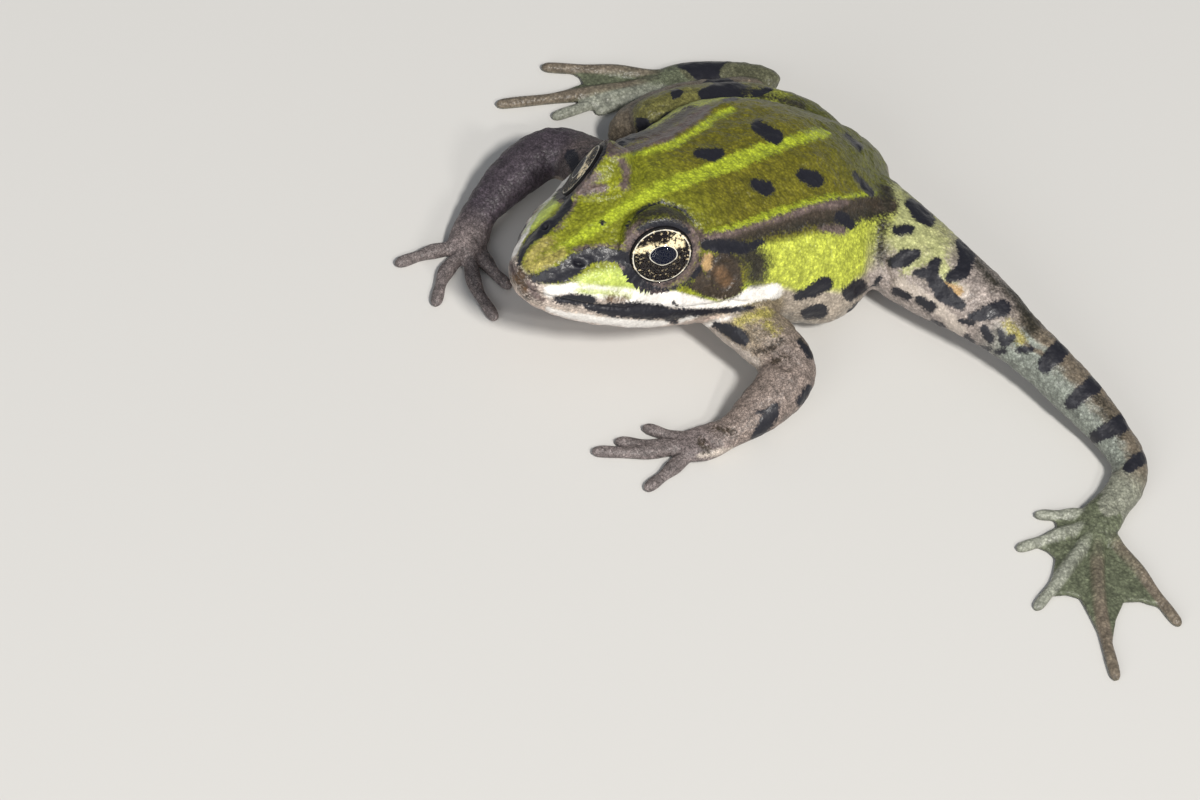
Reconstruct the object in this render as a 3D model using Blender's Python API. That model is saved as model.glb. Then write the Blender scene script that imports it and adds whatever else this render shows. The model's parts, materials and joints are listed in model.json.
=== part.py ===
"""Edible frog: a still, life-size model that rests on its belly, hands and feet.

The frog faces -Y and its left side is +X. The floor is at z = 0. Lengths below are in
millimetres, and the finished nodes are in metres.
"""

import math
from collections import namedtuple

import bmesh
import bpy
import numpy as np
from mathutils import Matrix, Vector
from mathutils.bvhtree import BVHTree

MM = 0.001  # metres in a millimetre
GAP = 0.3  # space between neighbouring nodes

# Trunk and head, from the tip of the snout to the vent. Heights are above the floor.
Station = namedtuple("Station", "y half_width widest top bottom square_top square_bottom")
BODY = [
    Station(-42.9, 0.15, 13.6, 13.85, 13.3, 2.0, 2.0),
    Station(-42.6, 1.70, 13.1, 15.2, 11.6, 2.3, 2.2),
    Station(-41.7, 2.90, 12.7, 16.1, 10.4, 2.4, 2.4),
    Station(-40.2, 4.10, 12.3, 16.8, 9.3, 2.4, 2.5),
    Station(-37.8, 5.80, 11.7, 17.4, 8.1, 2.3, 2.6),
    Station(-34.5, 7.70, 11.1, 18.1, 6.9, 2.2, 2.6),
    Station(-31.0, 9.30, 10.5, 18.8, 5.9, 2.2, 2.6),
    Station(-27.0, 10.50, 9.8, 19.4, 4.9, 2.3, 2.6),
    Station(-23.0, 11.40, 9.1, 19.7, 3.9, 2.4, 2.5),
    Station(-19.0, 12.00, 8.4, 19.4, 2.8, 2.4, 2.5),
    Station(-15.0, 12.70, 7.4, 18.8, 1.4, 2.2, 2.5),
    Station(-10.0, 14.50, 5.2, 18.1, 0.1, 2.0, 2.5),
    Station(-5.0, 16.10, 3.8, 17.3, -0.35, 1.9, 2.6),
    Station(0.0, 15.10, 3.5, 16.0, -0.40, 1.9, 2.6),
    Station(4.5, 12.30, 3.7, 13.9, -0.35, 1.95, 2.4),
    Station(8.5, 8.60, 4.3, 11.4, 0.0, 2.0, 2.2),
    Station(11.8, 5.60, 4.5, 8.9, 0.9, 2.0, 2.0),
    Station(14.0, 3.00, 4.5, 6.7, 2.3, 2.0, 2.0),
    Station(14.9, 0.30, 4.4, 4.8, 4.0, 2.0, 2.0),
]
BODY_STEPS = 4  # rings for each pair of stations
BODY_CUTTER_STEPS = 2  # the same for a grown copy
BODY_SIDES = 40

# Eyes: the ball's centre on the left, the way the iris looks, and the lids round it
EYE = (5.8, -28.2, 17.4)
EYE_RADIUS = 3.9
IRIS_WAY = (0.81, -0.48, 0.33)
LID_RADIUS = 4.75
LID_OPENING = 3.6
LID_OPENING_DEPTH = 6.0
LID_OPENING_AHEAD = 1.0  # how far in front of the ball the opening's middle lies

# Eardrum, nostril and the line of the mouth
DRUM = (-21.3, 13.9)  # y and z of its middle
DRUM_RADIUS = 2.0
DRUM_DEPTH = 0.8
DRUM_RAISED = 0.1  # how far the eardrum stands out from the skin
ASIDE = 30.0  # x well outside the body
SKIN_SAMPLE = 1.5  # how far apart the skin is read to find the way it faces
NOSTRIL = (2.9, -37.7, 16.9)
NOSTRIL_RADIUS = 0.55
MOUTH = [(-46.0, 13.75), (-42.7, 13.6), (-37.8, 12.8), (-31.0, 11.7),
         (-24.0, 10.6), (-19.0, 9.7), (-16.2, 9.1)]
NECK_TOP = (-15.4, 24.0)
THROAT_END = (-25.5, 2.0)
HEAD_CUT_WIDTH = 15.0
CORNER_BACK = 0.05  # how far the cuts at the corner of the mouth reach past each other
CORNER_OVER = 0.1

# Limb points: x, y, z, half width, half height
Joint = namedtuple("Joint", "x y z wide high")
LEFT_ARM = [
    Joint(4.0, -17.0, 7.2, 4.4, 4.0),
    Joint(9.5, -17.2, 6.5, 4.2, 3.7),
    Joint(14.2, -16.9, 6.0, 3.6, 3.1),
    Joint(18.5, -16.1, 5.4, 3.3, 2.9),
    Joint(20.8, -16.8, 4.9, 3.0, 2.8),
    Joint(21.9, -19.5, 4.2, 3.05, 2.8),
    Joint(22.5, -22.9, 3.2, 2.7, 2.3),
    Joint(22.6, -26.4, 2.1, 1.95, 1.6),
    Joint(22.1, -29.4, 1.4, 2.4, 1.4),
    Joint(21.4, -31.6, 1.1, 2.2, 1.1),
    Joint(21.1, -32.6, 1.0, 1.3, 0.8),
]
RIGHT_ARM = [
    Joint(-4.0, -17.0, 7.2, 4.4, 4.0),
    Joint(-9.5, -17.6, 6.5, 4.2, 3.7),
    Joint(-14.0, -18.2, 6.0, 3.6, 3.1),
    Joint(-17.4, -18.8, 5.3, 3.1, 2.8),
    Joint(-18.9, -20.6, 4.7, 3.0, 2.7),
    Joint(-18.9, -23.6, 4.1, 3.0, 2.6),
    Joint(-18.2, -27.4, 3.2, 2.7, 2.2),
    Joint(-16.9, -31.5, 2.1, 2.1, 1.7),
    Joint(-15.2, -34.2, 1.4, 2.4, 1.4),
    Joint(-14.0, -36.0, 1.1, 2.2, 1.1),
    Joint(-13.5, -36.9, 1.0, 1.3, 0.8),
]
LEFT_LEG = [
    Joint(0.5, 6.8, 5.2, 4.6, 4.4),
    Joint(5.5, 6.6, 5.4, 5.6, 4.9),
    Joint(11.5, 6.8, 5.6, 6.1, 4.9),
    Joint(18.0, 8.0, 5.8, 5.5, 4.4),
    Joint(24.5, 9.7, 5.8, 4.3, 3.7),
    Joint(29.0, 10.8, 5.3, 3.4, 3.1),
    Joint(33.5, 11.9, 4.6, 3.0, 2.8),
    Joint(38.5, 12.7, 3.8, 2.9, 2.6),
    Joint(44.0, 13.2, 2.9, 2.4, 2.2),
    Joint(48.6, 12.7, 2.2, 2.1, 1.9),
    Joint(51.0, 10.2, 1.8, 2.2, 1.6),
    Joint(52.0, 7.4, 1.4, 2.2, 1.3),
    Joint(52.9, 4.9, 1.2, 2.6, 1.2),
    Joint(54.2, 2.4, 1.0, 2.2, 0.9),
    Joint(54.9, 1.3, 0.9, 1.2, 0.7),
]
RIGHT_THIGH = [
    Joint(-3.4, 9.8, 4.7, 3.6, 3.9),
    Joint(-7.4, 7.6, 5.2, 4.5, 4.3),
    Joint(-11.3, 3.8, 5.5, 4.6, 4.3),
    Joint(-14.0, -1.0, 5.6, 4.1, 4.0),
    Joint(-15.8, -5.0, 5.4, 3.5, 3.6),
    Joint(-16.7, -7.8, 5.0, 2.6, 3.0),
    Joint(-17.0, -9.0, 4.8, 1.2, 1.5),
]
RIGHT_SHANK = [
    Joint(-17.6, -9.8, 3.7, 1.3, 1.5),
    Joint(-18.0, -8.6, 3.3, 2.3, 2.6),
    Joint(-18.7, -4.6, 2.8, 2.6, 2.7),
    Joint(-18.6, 0.4, 2.6, 2.6, 2.6),
    Joint(-17.5, 5.6, 2.4, 2.3, 2.3),
    Joint(-16.4, 9.8, 2.1, 2.0, 1.9),
    Joint(-15.9, 11.4, 2.0, 1.2, 1.2),
]
RIGHT_FOOT = [
    Joint(-16.0, 13.0, 1.9, 1.2, 1.2),
    Joint(-17.4, 12.6, 1.8, 2.0, 1.6),
    Joint(-20.1, 9.6, 1.5, 2.1, 1.4),
    Joint(-22.0, 5.6, 1.2, 2.5, 1.3),
    Joint(-23.0, 2.6, 1.0, 2.2, 1.0),
    Joint(-23.4, 1.4, 0.9, 1.2, 0.7),
]
LIMB_SIDES = 18
LIMB_RINGS = 8  # for each pair of points

# Fingers and toes: root x y, middle x y, tip x y
LEFT_FINGERS = [
    ((22.0, -29.0), (19.6, -31.4), (16.9, -33.4)),
    ((21.4, -30.6), (19.4, -34.3), (16.9, -37.5)),
    ((21.2, -31.2), (19.4, -36.2), (16.7, -40.8)),
    ((21.9, -31.0), (22.8, -35.0), (23.5, -38.8)),
]
RIGHT_FINGERS = [
    ((-14.4, -33.8), (-11.0, -34.6), (-8.0, -34.4)),
    ((-13.8, -35.2), (-9.6, -37.8), (-5.0, -38.8)),
    ((-14.0, -35.8), (-12.4, -40.0), (-9.8, -43.3)),
    ((-14.6, -35.4), (-15.8, -39.4), (-16.3, -43.3)),
]
LEFT_TOES = [
    ((52.2, 5.2), (50.4, 2.2), (48.6, -0.6)),
    ((53.0, 3.6), (52.0, -1.2), (51.2, -5.8)),
    ((53.9, 2.6), (56.4, -3.8), (58.6, -9.8)),
    ((54.6, 2.6), (62.4, -3.8), (70.6, -8.6)),
    ((54.2, 4.2), (61.4, 3.8), (68.2, 3.2)),
]
RIGHT_TOES = [
    ((-22.2, 5.0), (-22.4, 1.0), (-22.8, -2.8)),
    ((-22.7, 3.4), (-23.2, -2.2), (-23.7, -7.0)),
    ((-23.0, 2.6), (-24.6, -5.2), (-25.5, -12.2)),
    ((-23.4, 2.6), (-26.6, -7.6), (-30.0, -17.0)),
    ((-23.2, 4.0), (-28.0, -2.2), (-32.0, -8.4)),
]
FINGER_ROOT = 1.0
FINGER_TIP = 0.62
TOE_ROOT = 1.05
TOE_TIP = 0.55
DIGIT_SIDES = 8
DIGIT_STEPS = 2  # between two of a digit's points
DIGIT_SINK = 0.12  # how far a digit's underside lies below the floor before it is levelled
DIGIT_FLATNESS = 0.92  # height of a digit against its width
KNUCKLE = 0.10  # how much wider a digit is at its joints
KNUCKLE_PLACE = 0.42
DIGIT_END = ((0.8, 0.85), (1.28, 0.45))  # reach and size of the rounded end, in tip radii
WEB_LOW = 0.25
WEB_HIGH = 0.85
WEB_REACH = 0.80  # how far along the toes the web's edge meets them
WEB_OUTER_REACH = 0.90  # the same on the first and the last toe
WEB_DIP = 0.62  # how far out the web's edge hangs between two toes

# Thin discs that part the limbs at their joints: middle, way along the limb, radius
Cut = namedtuple("Cut", "centre way radius")
CUTS = [
    Cut((13.7, -17.0, 6.0), (1.0, 0.0, -0.1), 6.0),
    Cut((20.7, -17.3, 4.8), (0.55, -0.8, -0.15), 4.6),
    Cut((22.6, -26.4, 2.1), (-0.12, -1.0, -0.25), 3.3),
    Cut((-13.7, -18.2, 6.0), (-1.0, 0.0, -0.1), 6.0),
    Cut((-18.7, -20.6, 4.7), (-0.35, -0.9, -0.15), 4.6),
    Cut((-16.9, -31.5, 2.1), (0.5, -0.85, -0.22), 3.3),
    Cut((14.6, 7.2, 5.6), (1.0, 0.12, 0.0), 8.0),
    Cut((29.6, 11.0, 5.2), (1.0, 0.15, -0.15), 5.0),
    Cut((49.4, 12.0, 2.1), (0.62, -0.78, -0.15), 3.4),
]

# A point well inside each node, by which the cut pieces get their names
INSIDE = {
    "head": (0.0, -28.0, 15.0),
    "lower_jaw": (0.0, -31.0, 10.2),
    "torso": (0.0, -4.0, 8.0),
    "upper_arm_left": (16.7, -16.6, 5.7),
    "forearm_left": (22.3, -22.0, 3.5),
    "hand_left": (21.9, -30.2, 1.2),
    "upper_arm_right": (-16.0, -18.5, 5.6),
    "forearm_right": (-18.5, -26.0, 3.4),
    "hand_right": (-14.9, -34.6, 1.2),
    "thigh_left": (21.0, 8.9, 5.8),
    "shank_left": (40.0, 12.8, 3.5),
    "foot_left": (52.9, 4.9, 1.1),
}

VOXEL = 0.55  # grid in which trunk and limbs are fused
VOLUME_SLACK = 0.5  # cubic millimetres by which a sound Boolean may miss its bounds
SMOOTHING = 7  # passes that round the creases where limbs leave the trunk
SMOOTH_SHARE = 0.5  # how far each pass moves a point
FLESH_TRIANGLES = 4400
RIGHT_LEG_TRIANGLES = 380  # for each of its three parts
BALL_DETAIL = {"lid": (20, 12), "eye": (20, 12), "socket": (16, 10), "nostril": (10, 7)}
DISC_SIDES = 20
FLOOR_MIDDLE = (20, 0, -10)
FLOOR_SIZE = (200, 200, 20)

# Colours of each kind of surface: linear red, green, blue, then roughness
Finish = namedtuple("Finish", "colour roughness")
FINISHES = {
    "head": Finish((0.24, 0.33, 0.03), 0.35),
    "lower_jaw": Finish((0.62, 0.60, 0.50), 0.40),
    "torso": Finish((0.20, 0.28, 0.03), 0.35),
    "eye": Finish((0.05, 0.03, 0.01), 0.08),
    "tympanum": Finish((0.12, 0.07, 0.03), 0.40),
    "upper_arm": Finish((0.22, 0.19, 0.13), 0.45),
    "forearm": Finish((0.17, 0.14, 0.12), 0.45),
    "hand": Finish((0.15, 0.13, 0.12), 0.50),
    "thigh": Finish((0.48, 0.45, 0.30), 0.40),
    "shank": Finish((0.30, 0.27, 0.19), 0.40),
    "foot": Finish((0.26, 0.29, 0.21), 0.45),
}


def clear_scene():
    for obj in list(bpy.data.objects):
        bpy.data.objects.remove(obj, do_unlink=True)


def smooth_rows(rows, per_gap):
    """Rows of numbers read from a smooth curve through the given rows, with per_gap steps between two."""
    rows = np.array(rows, float)
    before = 2 * rows[0] - rows[1]
    after = 2 * rows[-1] - rows[-2]
    padded = np.vstack([before, rows, after])
    out = []
    for i in range(len(rows) - 1):
        p0, p1, p2, p3 = padded[i:i + 4]
        for t in np.arange(per_gap) / per_gap:
            out.append(0.5 * (2 * p1 + (p2 - p0) * t + (2 * p0 - 5 * p1 + 4 * p2 - p3) * t ** 2
                              + (3 * p1 - p0 - 3 * p2 + p3) * t ** 3))
    out.append(rows[-1])
    return np.array(out)


def mesh_object(name, verts, faces):
    """A mesh object in millimetres with its faces turned outwards."""
    mesh = bpy.data.meshes.new(name)
    mesh.from_pydata([tuple(v) for v in verts], [], [tuple(f) for f in faces])
    bm = bmesh.new()
    bm.from_mesh(mesh)
    bmesh.ops.recalc_face_normals(bm, faces=bm.faces)
    bm.to_mesh(mesh)
    bm.free()
    obj = bpy.data.objects.new(name, mesh)
    bpy.context.scene.collection.objects.link(obj)
    return obj


def loft(name, rings):
    """A closed skin over rings of equal point counts, with a flat cap at both ends."""
    count = len(rings[0])
    verts = [p for ring in rings for p in ring]
    faces = []
    for r in range(len(rings) - 1):
        low, high = r * count, (r + 1) * count
        for k in range(count):
            after = (k + 1) % count
            faces.append((low + k, low + after, high + after, high + k))
    faces.append(range(count))
    faces.append(range((len(rings) - 1) * count, len(rings) * count))
    return mesh_object(name, verts, faces)


def body_ring(row):
    """One upright section of the trunk: a rounded square above and below its widest line."""
    y, half_width, widest, top, bottom, square_top, square_bottom = row
    ring = []
    for angle in np.linspace(0, 2 * math.pi, BODY_SIDES, endpoint=False):
        c, s = math.cos(angle), math.sin(angle)
        square = square_top if s >= 0 else square_bottom
        height = top - widest if s >= 0 else widest - bottom
        x = half_width * math.copysign(abs(c) ** (2 / square), c)
        z = widest + height * math.copysign(abs(s) ** (2 / square), s)
        ring.append((x, y, z))
    return ring


def make_trunk(swell=0.0):
    """Head and trunk in one piece, or a copy that is larger all round by swell."""
    rows = smooth_rows(BODY, BODY_STEPS if swell == 0 else BODY_CUTTER_STEPS)
    rows[:, 1] += swell
    rows[:, 3] += swell
    rows[:, 4] -= swell
    return loft("trunk", [body_ring(row) for row in rows])


def tube(name, rows, sides):
    """A tube through rows of x, y, z, half width and half height, with its width kept level."""
    rows = np.array(rows)
    ways = np.gradient(rows[:, :3], axis=0)
    rings = []
    for row, way in zip(rows, ways):
        along = Vector(way).normalized()
        side = along.cross(Vector((0, 0, 1))).normalized()
        rise = side.cross(along)
        middle = Vector(row[:3])
        ring = []
        for angle in np.linspace(0, 2 * math.pi, sides, endpoint=False):
            ring.append(middle + side * (row[3] * math.cos(angle)) + rise * (row[4] * math.sin(angle)))
        rings.append(ring)
    return loft(name, rings)


def ball(name, kind, centre, radius):
    segments, rings = BALL_DETAIL[kind]
    mesh = bpy.data.meshes.new(name)
    bm = bmesh.new()
    bmesh.ops.create_uvsphere(bm, u_segments=segments, v_segments=rings, radius=radius,
                              matrix=Matrix.Translation(centre))
    bm.to_mesh(mesh)
    bm.free()
    obj = bpy.data.objects.new(name, mesh)
    bpy.context.scene.collection.objects.link(obj)
    return obj


def turn_to(way):
    """A rotation that takes +Z to the given way."""
    return Vector((0, 0, 1)).rotation_difference(Vector(way)).to_matrix().to_4x4()


def drum_shape(name, centre, way, radius, depth):
    """A round disc or rod whose axis lies along way."""
    mesh = bpy.data.meshes.new(name)
    bm = bmesh.new()
    bmesh.ops.create_cone(bm, cap_ends=True, segments=DISC_SIDES, radius1=radius, radius2=radius, depth=depth,
                          matrix=Matrix.Translation(centre) @ turn_to(way))
    bm.to_mesh(mesh)
    bm.free()
    obj = bpy.data.objects.new(name, mesh)
    bpy.context.scene.collection.objects.link(obj)
    return obj


def sheet_cutter(name, line, half_width, thickness=GAP):
    """A thin sheet that follows a line of y, z points and spans the body sideways."""
    line = np.array(line, float)
    ways = np.gradient(line, axis=0)
    ways /= np.linalg.norm(ways, axis=1)[:, None]
    off = np.stack([-ways[:, 1], ways[:, 0]], axis=1) * thickness / 2
    outline = np.vstack([line + off, (line - off)[::-1]])
    count = len(outline)
    verts = [(-half_width, y, z) for y, z in outline] + [(half_width, y, z) for y, z in outline]
    faces = [(k, (k + 1) % count, count + (k + 1) % count, count + k) for k in range(count)]
    for k in range(len(line) - 1):
        mate = count - 1 - k
        faces.append((k, k + 1, mate - 1, mate))
        faces.append((count + k, count + k + 1, count + mate - 1, count + mate))
    return mesh_object(name, verts, faces)


def remove(obj):
    mesh = obj.data
    bpy.data.objects.remove(obj, do_unlink=True)
    bpy.data.meshes.remove(mesh)


def bake_modifiers(obj):
    """Turns an object's modifiers into its own mesh."""
    graph = bpy.context.evaluated_depsgraph_get()
    mesh = bpy.data.meshes.new_from_object(obj.evaluated_get(graph))
    obj.modifiers.clear()
    old = obj.data
    obj.data = mesh
    bpy.data.meshes.remove(old)


def volume_of(mesh):
    bm = bmesh.new()
    bm.from_mesh(mesh)
    volume = bm.calc_volume(signed=True)
    bm.free()
    return volume


def combine(obj, other, operation):
    """A Boolean with one other object, which is removed after it.

    The exact solver comes first. Where its result has lost a shell, the manifold solver
    does the same step again on the mesh as it was.
    """
    kept = obj.data.copy()
    before, tool = volume_of(kept), volume_of(other.data)
    low, high = (max(before, tool), before + tool) if operation == "UNION" else (before - tool, before)
    for solver in ("EXACT", "MANIFOLD"):
        step = obj.modifiers.new(operation, "BOOLEAN")
        step.object = other
        step.operation = operation
        step.solver = solver
        bake_modifiers(obj)
        if low - VOLUME_SLACK <= volume_of(obj.data) <= high + VOLUME_SLACK:
            break
        obj.data = kept.copy()
    bpy.data.meshes.remove(kept)
    remove(other)


def join(objects, name):
    """One object that holds the meshes of several, still as separate shells."""
    bm = bmesh.new()
    for obj in objects:
        bm.from_mesh(obj.data)
    mesh = bpy.data.meshes.new(name)
    bm.to_mesh(mesh)
    bm.free()
    for obj in objects:
        remove(obj)
    joined = bpy.data.objects.new(name, mesh)
    bpy.context.scene.collection.objects.link(joined)
    return joined


def fuse_flesh(objects, triangles):
    """Several shells as one closed skin, with soft creases, in a limited number of triangles."""
    flesh = join(objects, "flesh")
    remesh = flesh.modifiers.new("fuse", "REMESH")
    remesh.mode = "VOXEL"
    remesh.voxel_size = VOXEL
    bake_modifiers(flesh)
    soften = flesh.modifiers.new("soften", "SMOOTH")
    soften.factor = SMOOTH_SHARE
    soften.iterations = SMOOTHING
    thin = flesh.modifiers.new("thin", "DECIMATE")
    thin.ratio = triangles / (2 * len(flesh.data.polygons))
    bake_modifiers(flesh)
    return flesh


def digit(name, points, root_radius, tip_radius):
    """A finger or toe that lies on the floor and ends in a rounded tip."""
    rows = []
    path = smooth_rows([(*points[0], 0), (*points[1], 0), (*points[2], 0)], DIGIT_STEPS)
    last = len(path) - 1
    for k, (x, y, _) in enumerate(path):
        radius = root_radius + (tip_radius - root_radius) * k / last
        knuckle = 1 + KNUCKLE * math.cos(4 * math.pi * (k / last - KNUCKLE_PLACE))
        high = radius * DIGIT_FLATNESS
        rows.append((x, y, high - DIGIT_SINK, radius * knuckle, high))
    way = path[-1] - path[-2]
    way /= np.linalg.norm(way)
    for reach, size in DIGIT_END:
        x, y, _ = path[-1] + way * reach * tip_radius
        high = tip_radius * DIGIT_FLATNESS
        rows.append((x, y, high - DIGIT_SINK, tip_radius * size, high * size))
    return tube(name, rows, DIGIT_SIDES)


def web(name, toes):
    """A flat web with hollow edges between the toes."""
    outline = [np.array(toes[0][0])]
    for k, toe in enumerate(toes):
        root, _, tip = (np.array(p) for p in toe)
        reach = WEB_OUTER_REACH if k in (0, len(toes) - 1) else WEB_REACH
        outline.append(root + (tip - root) * reach)
        if k + 1 < len(toes):
            other_root, _, other_tip = (np.array(p) for p in toes[k + 1])
            outline.append(((root + other_root) + ((tip - root) + (other_tip - other_root)) * WEB_DIP) / 2)
    outline.append(np.array(toes[-1][0]))
    hub = np.mean([toe[0] for toe in toes], axis=0)
    count = len(outline)
    verts = [(*p, WEB_LOW) for p in outline] + [(*p, WEB_HIGH) for p in outline]
    verts += [(*hub, WEB_LOW), (*hub, WEB_HIGH)]
    faces = []
    for k in range(count - 1):
        faces.append((k, k + 1, count + k + 1, count + k))
        faces.append((k, k + 1, 2 * count))
        faces.append((count + k, count + k + 1, 2 * count + 1))
    faces.append((0, 2 * count, 2 * count + 1, count))
    faces.append((count - 1, 2 * count, 2 * count + 1, 2 * count - 1))
    return mesh_object(name, verts, faces)


def digits(name, fingers, root_radius, tip_radius, webbed):
    """All fingers or toes of one side, fused, with the web between the toes."""
    whole = digit(name, fingers[0], root_radius, tip_radius)
    for k, points in enumerate(fingers[1:]):
        combine(whole, digit(f"{name}_{k}", points, root_radius, tip_radius), "UNION")
    if webbed:
        combine(whole, web(f"{name}_web", fingers), "UNION")
    return whole


def mirrored(point, side):
    return (point[0] * side, point[1], point[2])


def shape_lids(flesh, side):
    """A lid bulge round the eye, hollowed for the ball and open where the iris looks out."""
    centre = Vector(mirrored(EYE, side))
    way = Vector(mirrored(IRIS_WAY, side)).normalized()
    combine(flesh, ball("lid", "lid", centre, LID_RADIUS), "UNION")
    combine(flesh, ball("socket", "socket", centre, EYE_RADIUS + GAP), "DIFFERENCE")
    middle = centre + way * (EYE_RADIUS + LID_OPENING_AHEAD)
    opening = drum_shape("opening", middle, way, LID_OPENING, LID_OPENING_DEPTH)
    combine(flesh, opening, "DIFFERENCE")


def shape_nostril(flesh, side):
    combine(flesh, ball("nostril", "nostril", mirrored(NOSTRIL, side), NOSTRIL_RADIUS), "DIFFERENCE")


def surface_spot(obj, y, z, side):
    """Where a sideways line at y, z meets the body, and the way its skin faces there."""
    tree = BVHTree.FromObject(obj, bpy.context.evaluated_depsgraph_get())
    spot, normal, _, _ = tree.ray_cast(Vector((side * ASIDE, y, z)), Vector((-side, 0, 0)))
    steps = (-SKIN_SAMPLE, 0, SKIN_SAMPLE)
    near = [tree.find_nearest(spot + Vector((0, dy, dz))) for dy in steps for dz in steps]
    normal = sum((hit[1] for hit in near), Vector()).normalized()
    return spot, normal


def make_drum(flesh, side, name):
    """A round eardrum, let into the side of the head with an even gap round and behind it."""
    spot, normal = surface_spot(flesh, *DRUM, side)
    recess = drum_shape("recess", spot, normal, DRUM_RADIUS + GAP, 2 * (DRUM_DEPTH + GAP))
    combine(flesh, recess, "DIFFERENCE")
    return drum_shape(name, spot - normal * (DRUM_DEPTH / 2 - DRUM_RAISED), normal, DRUM_RADIUS, DRUM_DEPTH)


def cut_floor(flesh):
    """Level flats where the model rests."""
    mesh = bpy.data.meshes.new("floor")
    bm = bmesh.new()
    bmesh.ops.create_cube(bm, size=1,
                          matrix=Matrix.Translation(FLOOR_MIDDLE) @ Matrix.Diagonal((*FLOOR_SIZE, 1)))
    bm.to_mesh(mesh)
    bm.free()
    floor = bpy.data.objects.new("floor", mesh)
    bpy.context.scene.collection.objects.link(floor)
    combine(flesh, floor, "DIFFERENCE")


def cut_head(flesh):
    """The mouth line, the neck above its corner and the throat below it."""
    corner = MOUTH[-1]
    combine(flesh, sheet_cutter("mouth", smooth_rows(MOUTH, 3), HEAD_CUT_WIDTH), "DIFFERENCE")
    up = [(corner[0] - CORNER_BACK, corner[1] - CORNER_OVER), NECK_TOP]
    combine(flesh, sheet_cutter("neck", up, HEAD_CUT_WIDTH), "DIFFERENCE")
    down = [(corner[0] + CORNER_OVER, corner[1] + CORNER_OVER), THROAT_END]
    combine(flesh, sheet_cutter("throat", down, HEAD_CUT_WIDTH), "DIFFERENCE")


def cut_joints(flesh, cuts):
    for cut in cuts:
        combine(flesh, drum_shape("joint", cut.centre, cut.way, cut.radius, GAP), "DIFFERENCE")


def split_shells(obj):
    """The closed surfaces of an object, as lists of faces, each with its enclosed volume."""
    bm = bmesh.new()
    bm.from_mesh(obj.data)
    bmesh.ops.triangulate(bm, faces=bm.faces)
    bm.faces.ensure_lookup_table()
    seen = set()
    shells = []
    for start in bm.faces:
        if start.index in seen:
            continue
        stack, shell = [start], []
        seen.add(start.index)
        while stack:
            face = stack.pop()
            shell.append(face)
            for edge in face.edges:
                for other in edge.link_faces:
                    if other.index not in seen:
                        seen.add(other.index)
                        stack.append(other)
        volume = sum(f.verts[0].co.dot(f.verts[1].co.cross(f.verts[2].co)) for f in shell) / 6
        shells.append((volume, [[tuple(v.co) for v in f.verts] for f in shell]))
    bm.free()
    return shells


def shell_object(name, triangles):
    """A mesh of its own from loose triangles, with shared corners joined again."""
    index, verts, faces = {}, [], []
    for triangle in triangles:
        face = []
        for point in triangle:
            if point not in index:
                index[point] = len(verts)
                verts.append(point)
            face.append(index[point])
        faces.append(face)
    return mesh_object(name, verts, faces)


def name_pieces(obj):
    """The cut pieces by name: of those round a node's inner point, the largest."""
    pieces = []
    for volume, triangles in split_shells(obj):
        corners = [Vector(p) for triangle in triangles for p in triangle]
        polygons = [(3 * k, 3 * k + 1, 3 * k + 2) for k in range(len(triangles))]
        pieces.append((volume, triangles, BVHTree.FromPolygons(corners, polygons)))
    remove(obj)
    pieces.sort(key=lambda piece: -piece[0])
    nodes = {}
    for name, point in INSIDE.items():
        for volume, triangles, tree in pieces:
            spot, normal, _, _ = tree.ray_cast(Vector(point), Vector((0, 0, 1)))
            if spot is not None and normal.z > 0:
                nodes[name] = shell_object(name, triangles)
                break
    return nodes


def largest_piece(obj):
    """The object without the slivers that a cut has left of it."""
    _, triangles = max(split_shells(obj), key=lambda shell: shell[0])
    remove(obj)
    return shell_object("piece", triangles)


def finish_nodes(nodes):
    """Stands the model on its origin, in metres, and gives each node its material."""
    points = np.array([v.co for obj in nodes.values() for v in obj.data.vertices])
    low, high = points.min(axis=0), points.max(axis=0)
    middle = Vector(((low[0] + high[0]) / 2, (low[1] + high[1]) / 2, low[2]))
    for name, obj in nodes.items():
        obj.data.transform(Matrix.Scale(MM, 4) @ Matrix.Translation(-middle))
        obj.name = name
        obj.data.name = name
        obj.data.shade_smooth()
        kind = name.replace("_left", "").replace("_right", "")
        finish = FINISHES[kind]
        material = bpy.data.materials.new(name)
        material.use_nodes = True
        shader = material.node_tree.nodes["Principled BSDF"]
        shader.inputs["Base Color"].default_value = (*finish.colour, 1)
        shader.inputs["Roughness"].default_value = finish.roughness
        obj.data.materials.clear()
        obj.data.materials.append(material)


def limb(name, joints, swell=0.0):
    """A tube through the joints, or one that is thicker all round by swell."""
    rows = smooth_rows(joints, LIMB_RINGS)
    rows[:, 3:] += swell
    return tube(name, rows, LIMB_SIDES)


def make_right_leg():
    """The folded leg: the thigh lies against the flank, the shank against it, then the foot."""
    nodes = {}
    thigh = fuse_flesh([limb("thigh", RIGHT_THIGH)], RIGHT_LEG_TRIANGLES)
    combine(thigh, make_trunk(GAP), "DIFFERENCE")
    shank = fuse_flesh([limb("shank", RIGHT_SHANK)], RIGHT_LEG_TRIANGLES)
    combine(shank, make_trunk(GAP), "DIFFERENCE")
    combine(shank, limb("thigh", RIGHT_THIGH, GAP), "DIFFERENCE")
    foot = fuse_flesh([limb("foot", RIGHT_FOOT)], RIGHT_LEG_TRIANGLES)
    combine(foot, digits("toes_r", RIGHT_TOES, TOE_ROOT, TOE_TIP, True), "UNION")
    combine(foot, limb("shank", RIGHT_SHANK, GAP), "DIFFERENCE")
    for name, obj in (("thigh_right", thigh), ("shank_right", shank), ("foot_right", foot)):
        cut_floor(obj)
        nodes[name] = largest_piece(obj)
    return nodes


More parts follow.
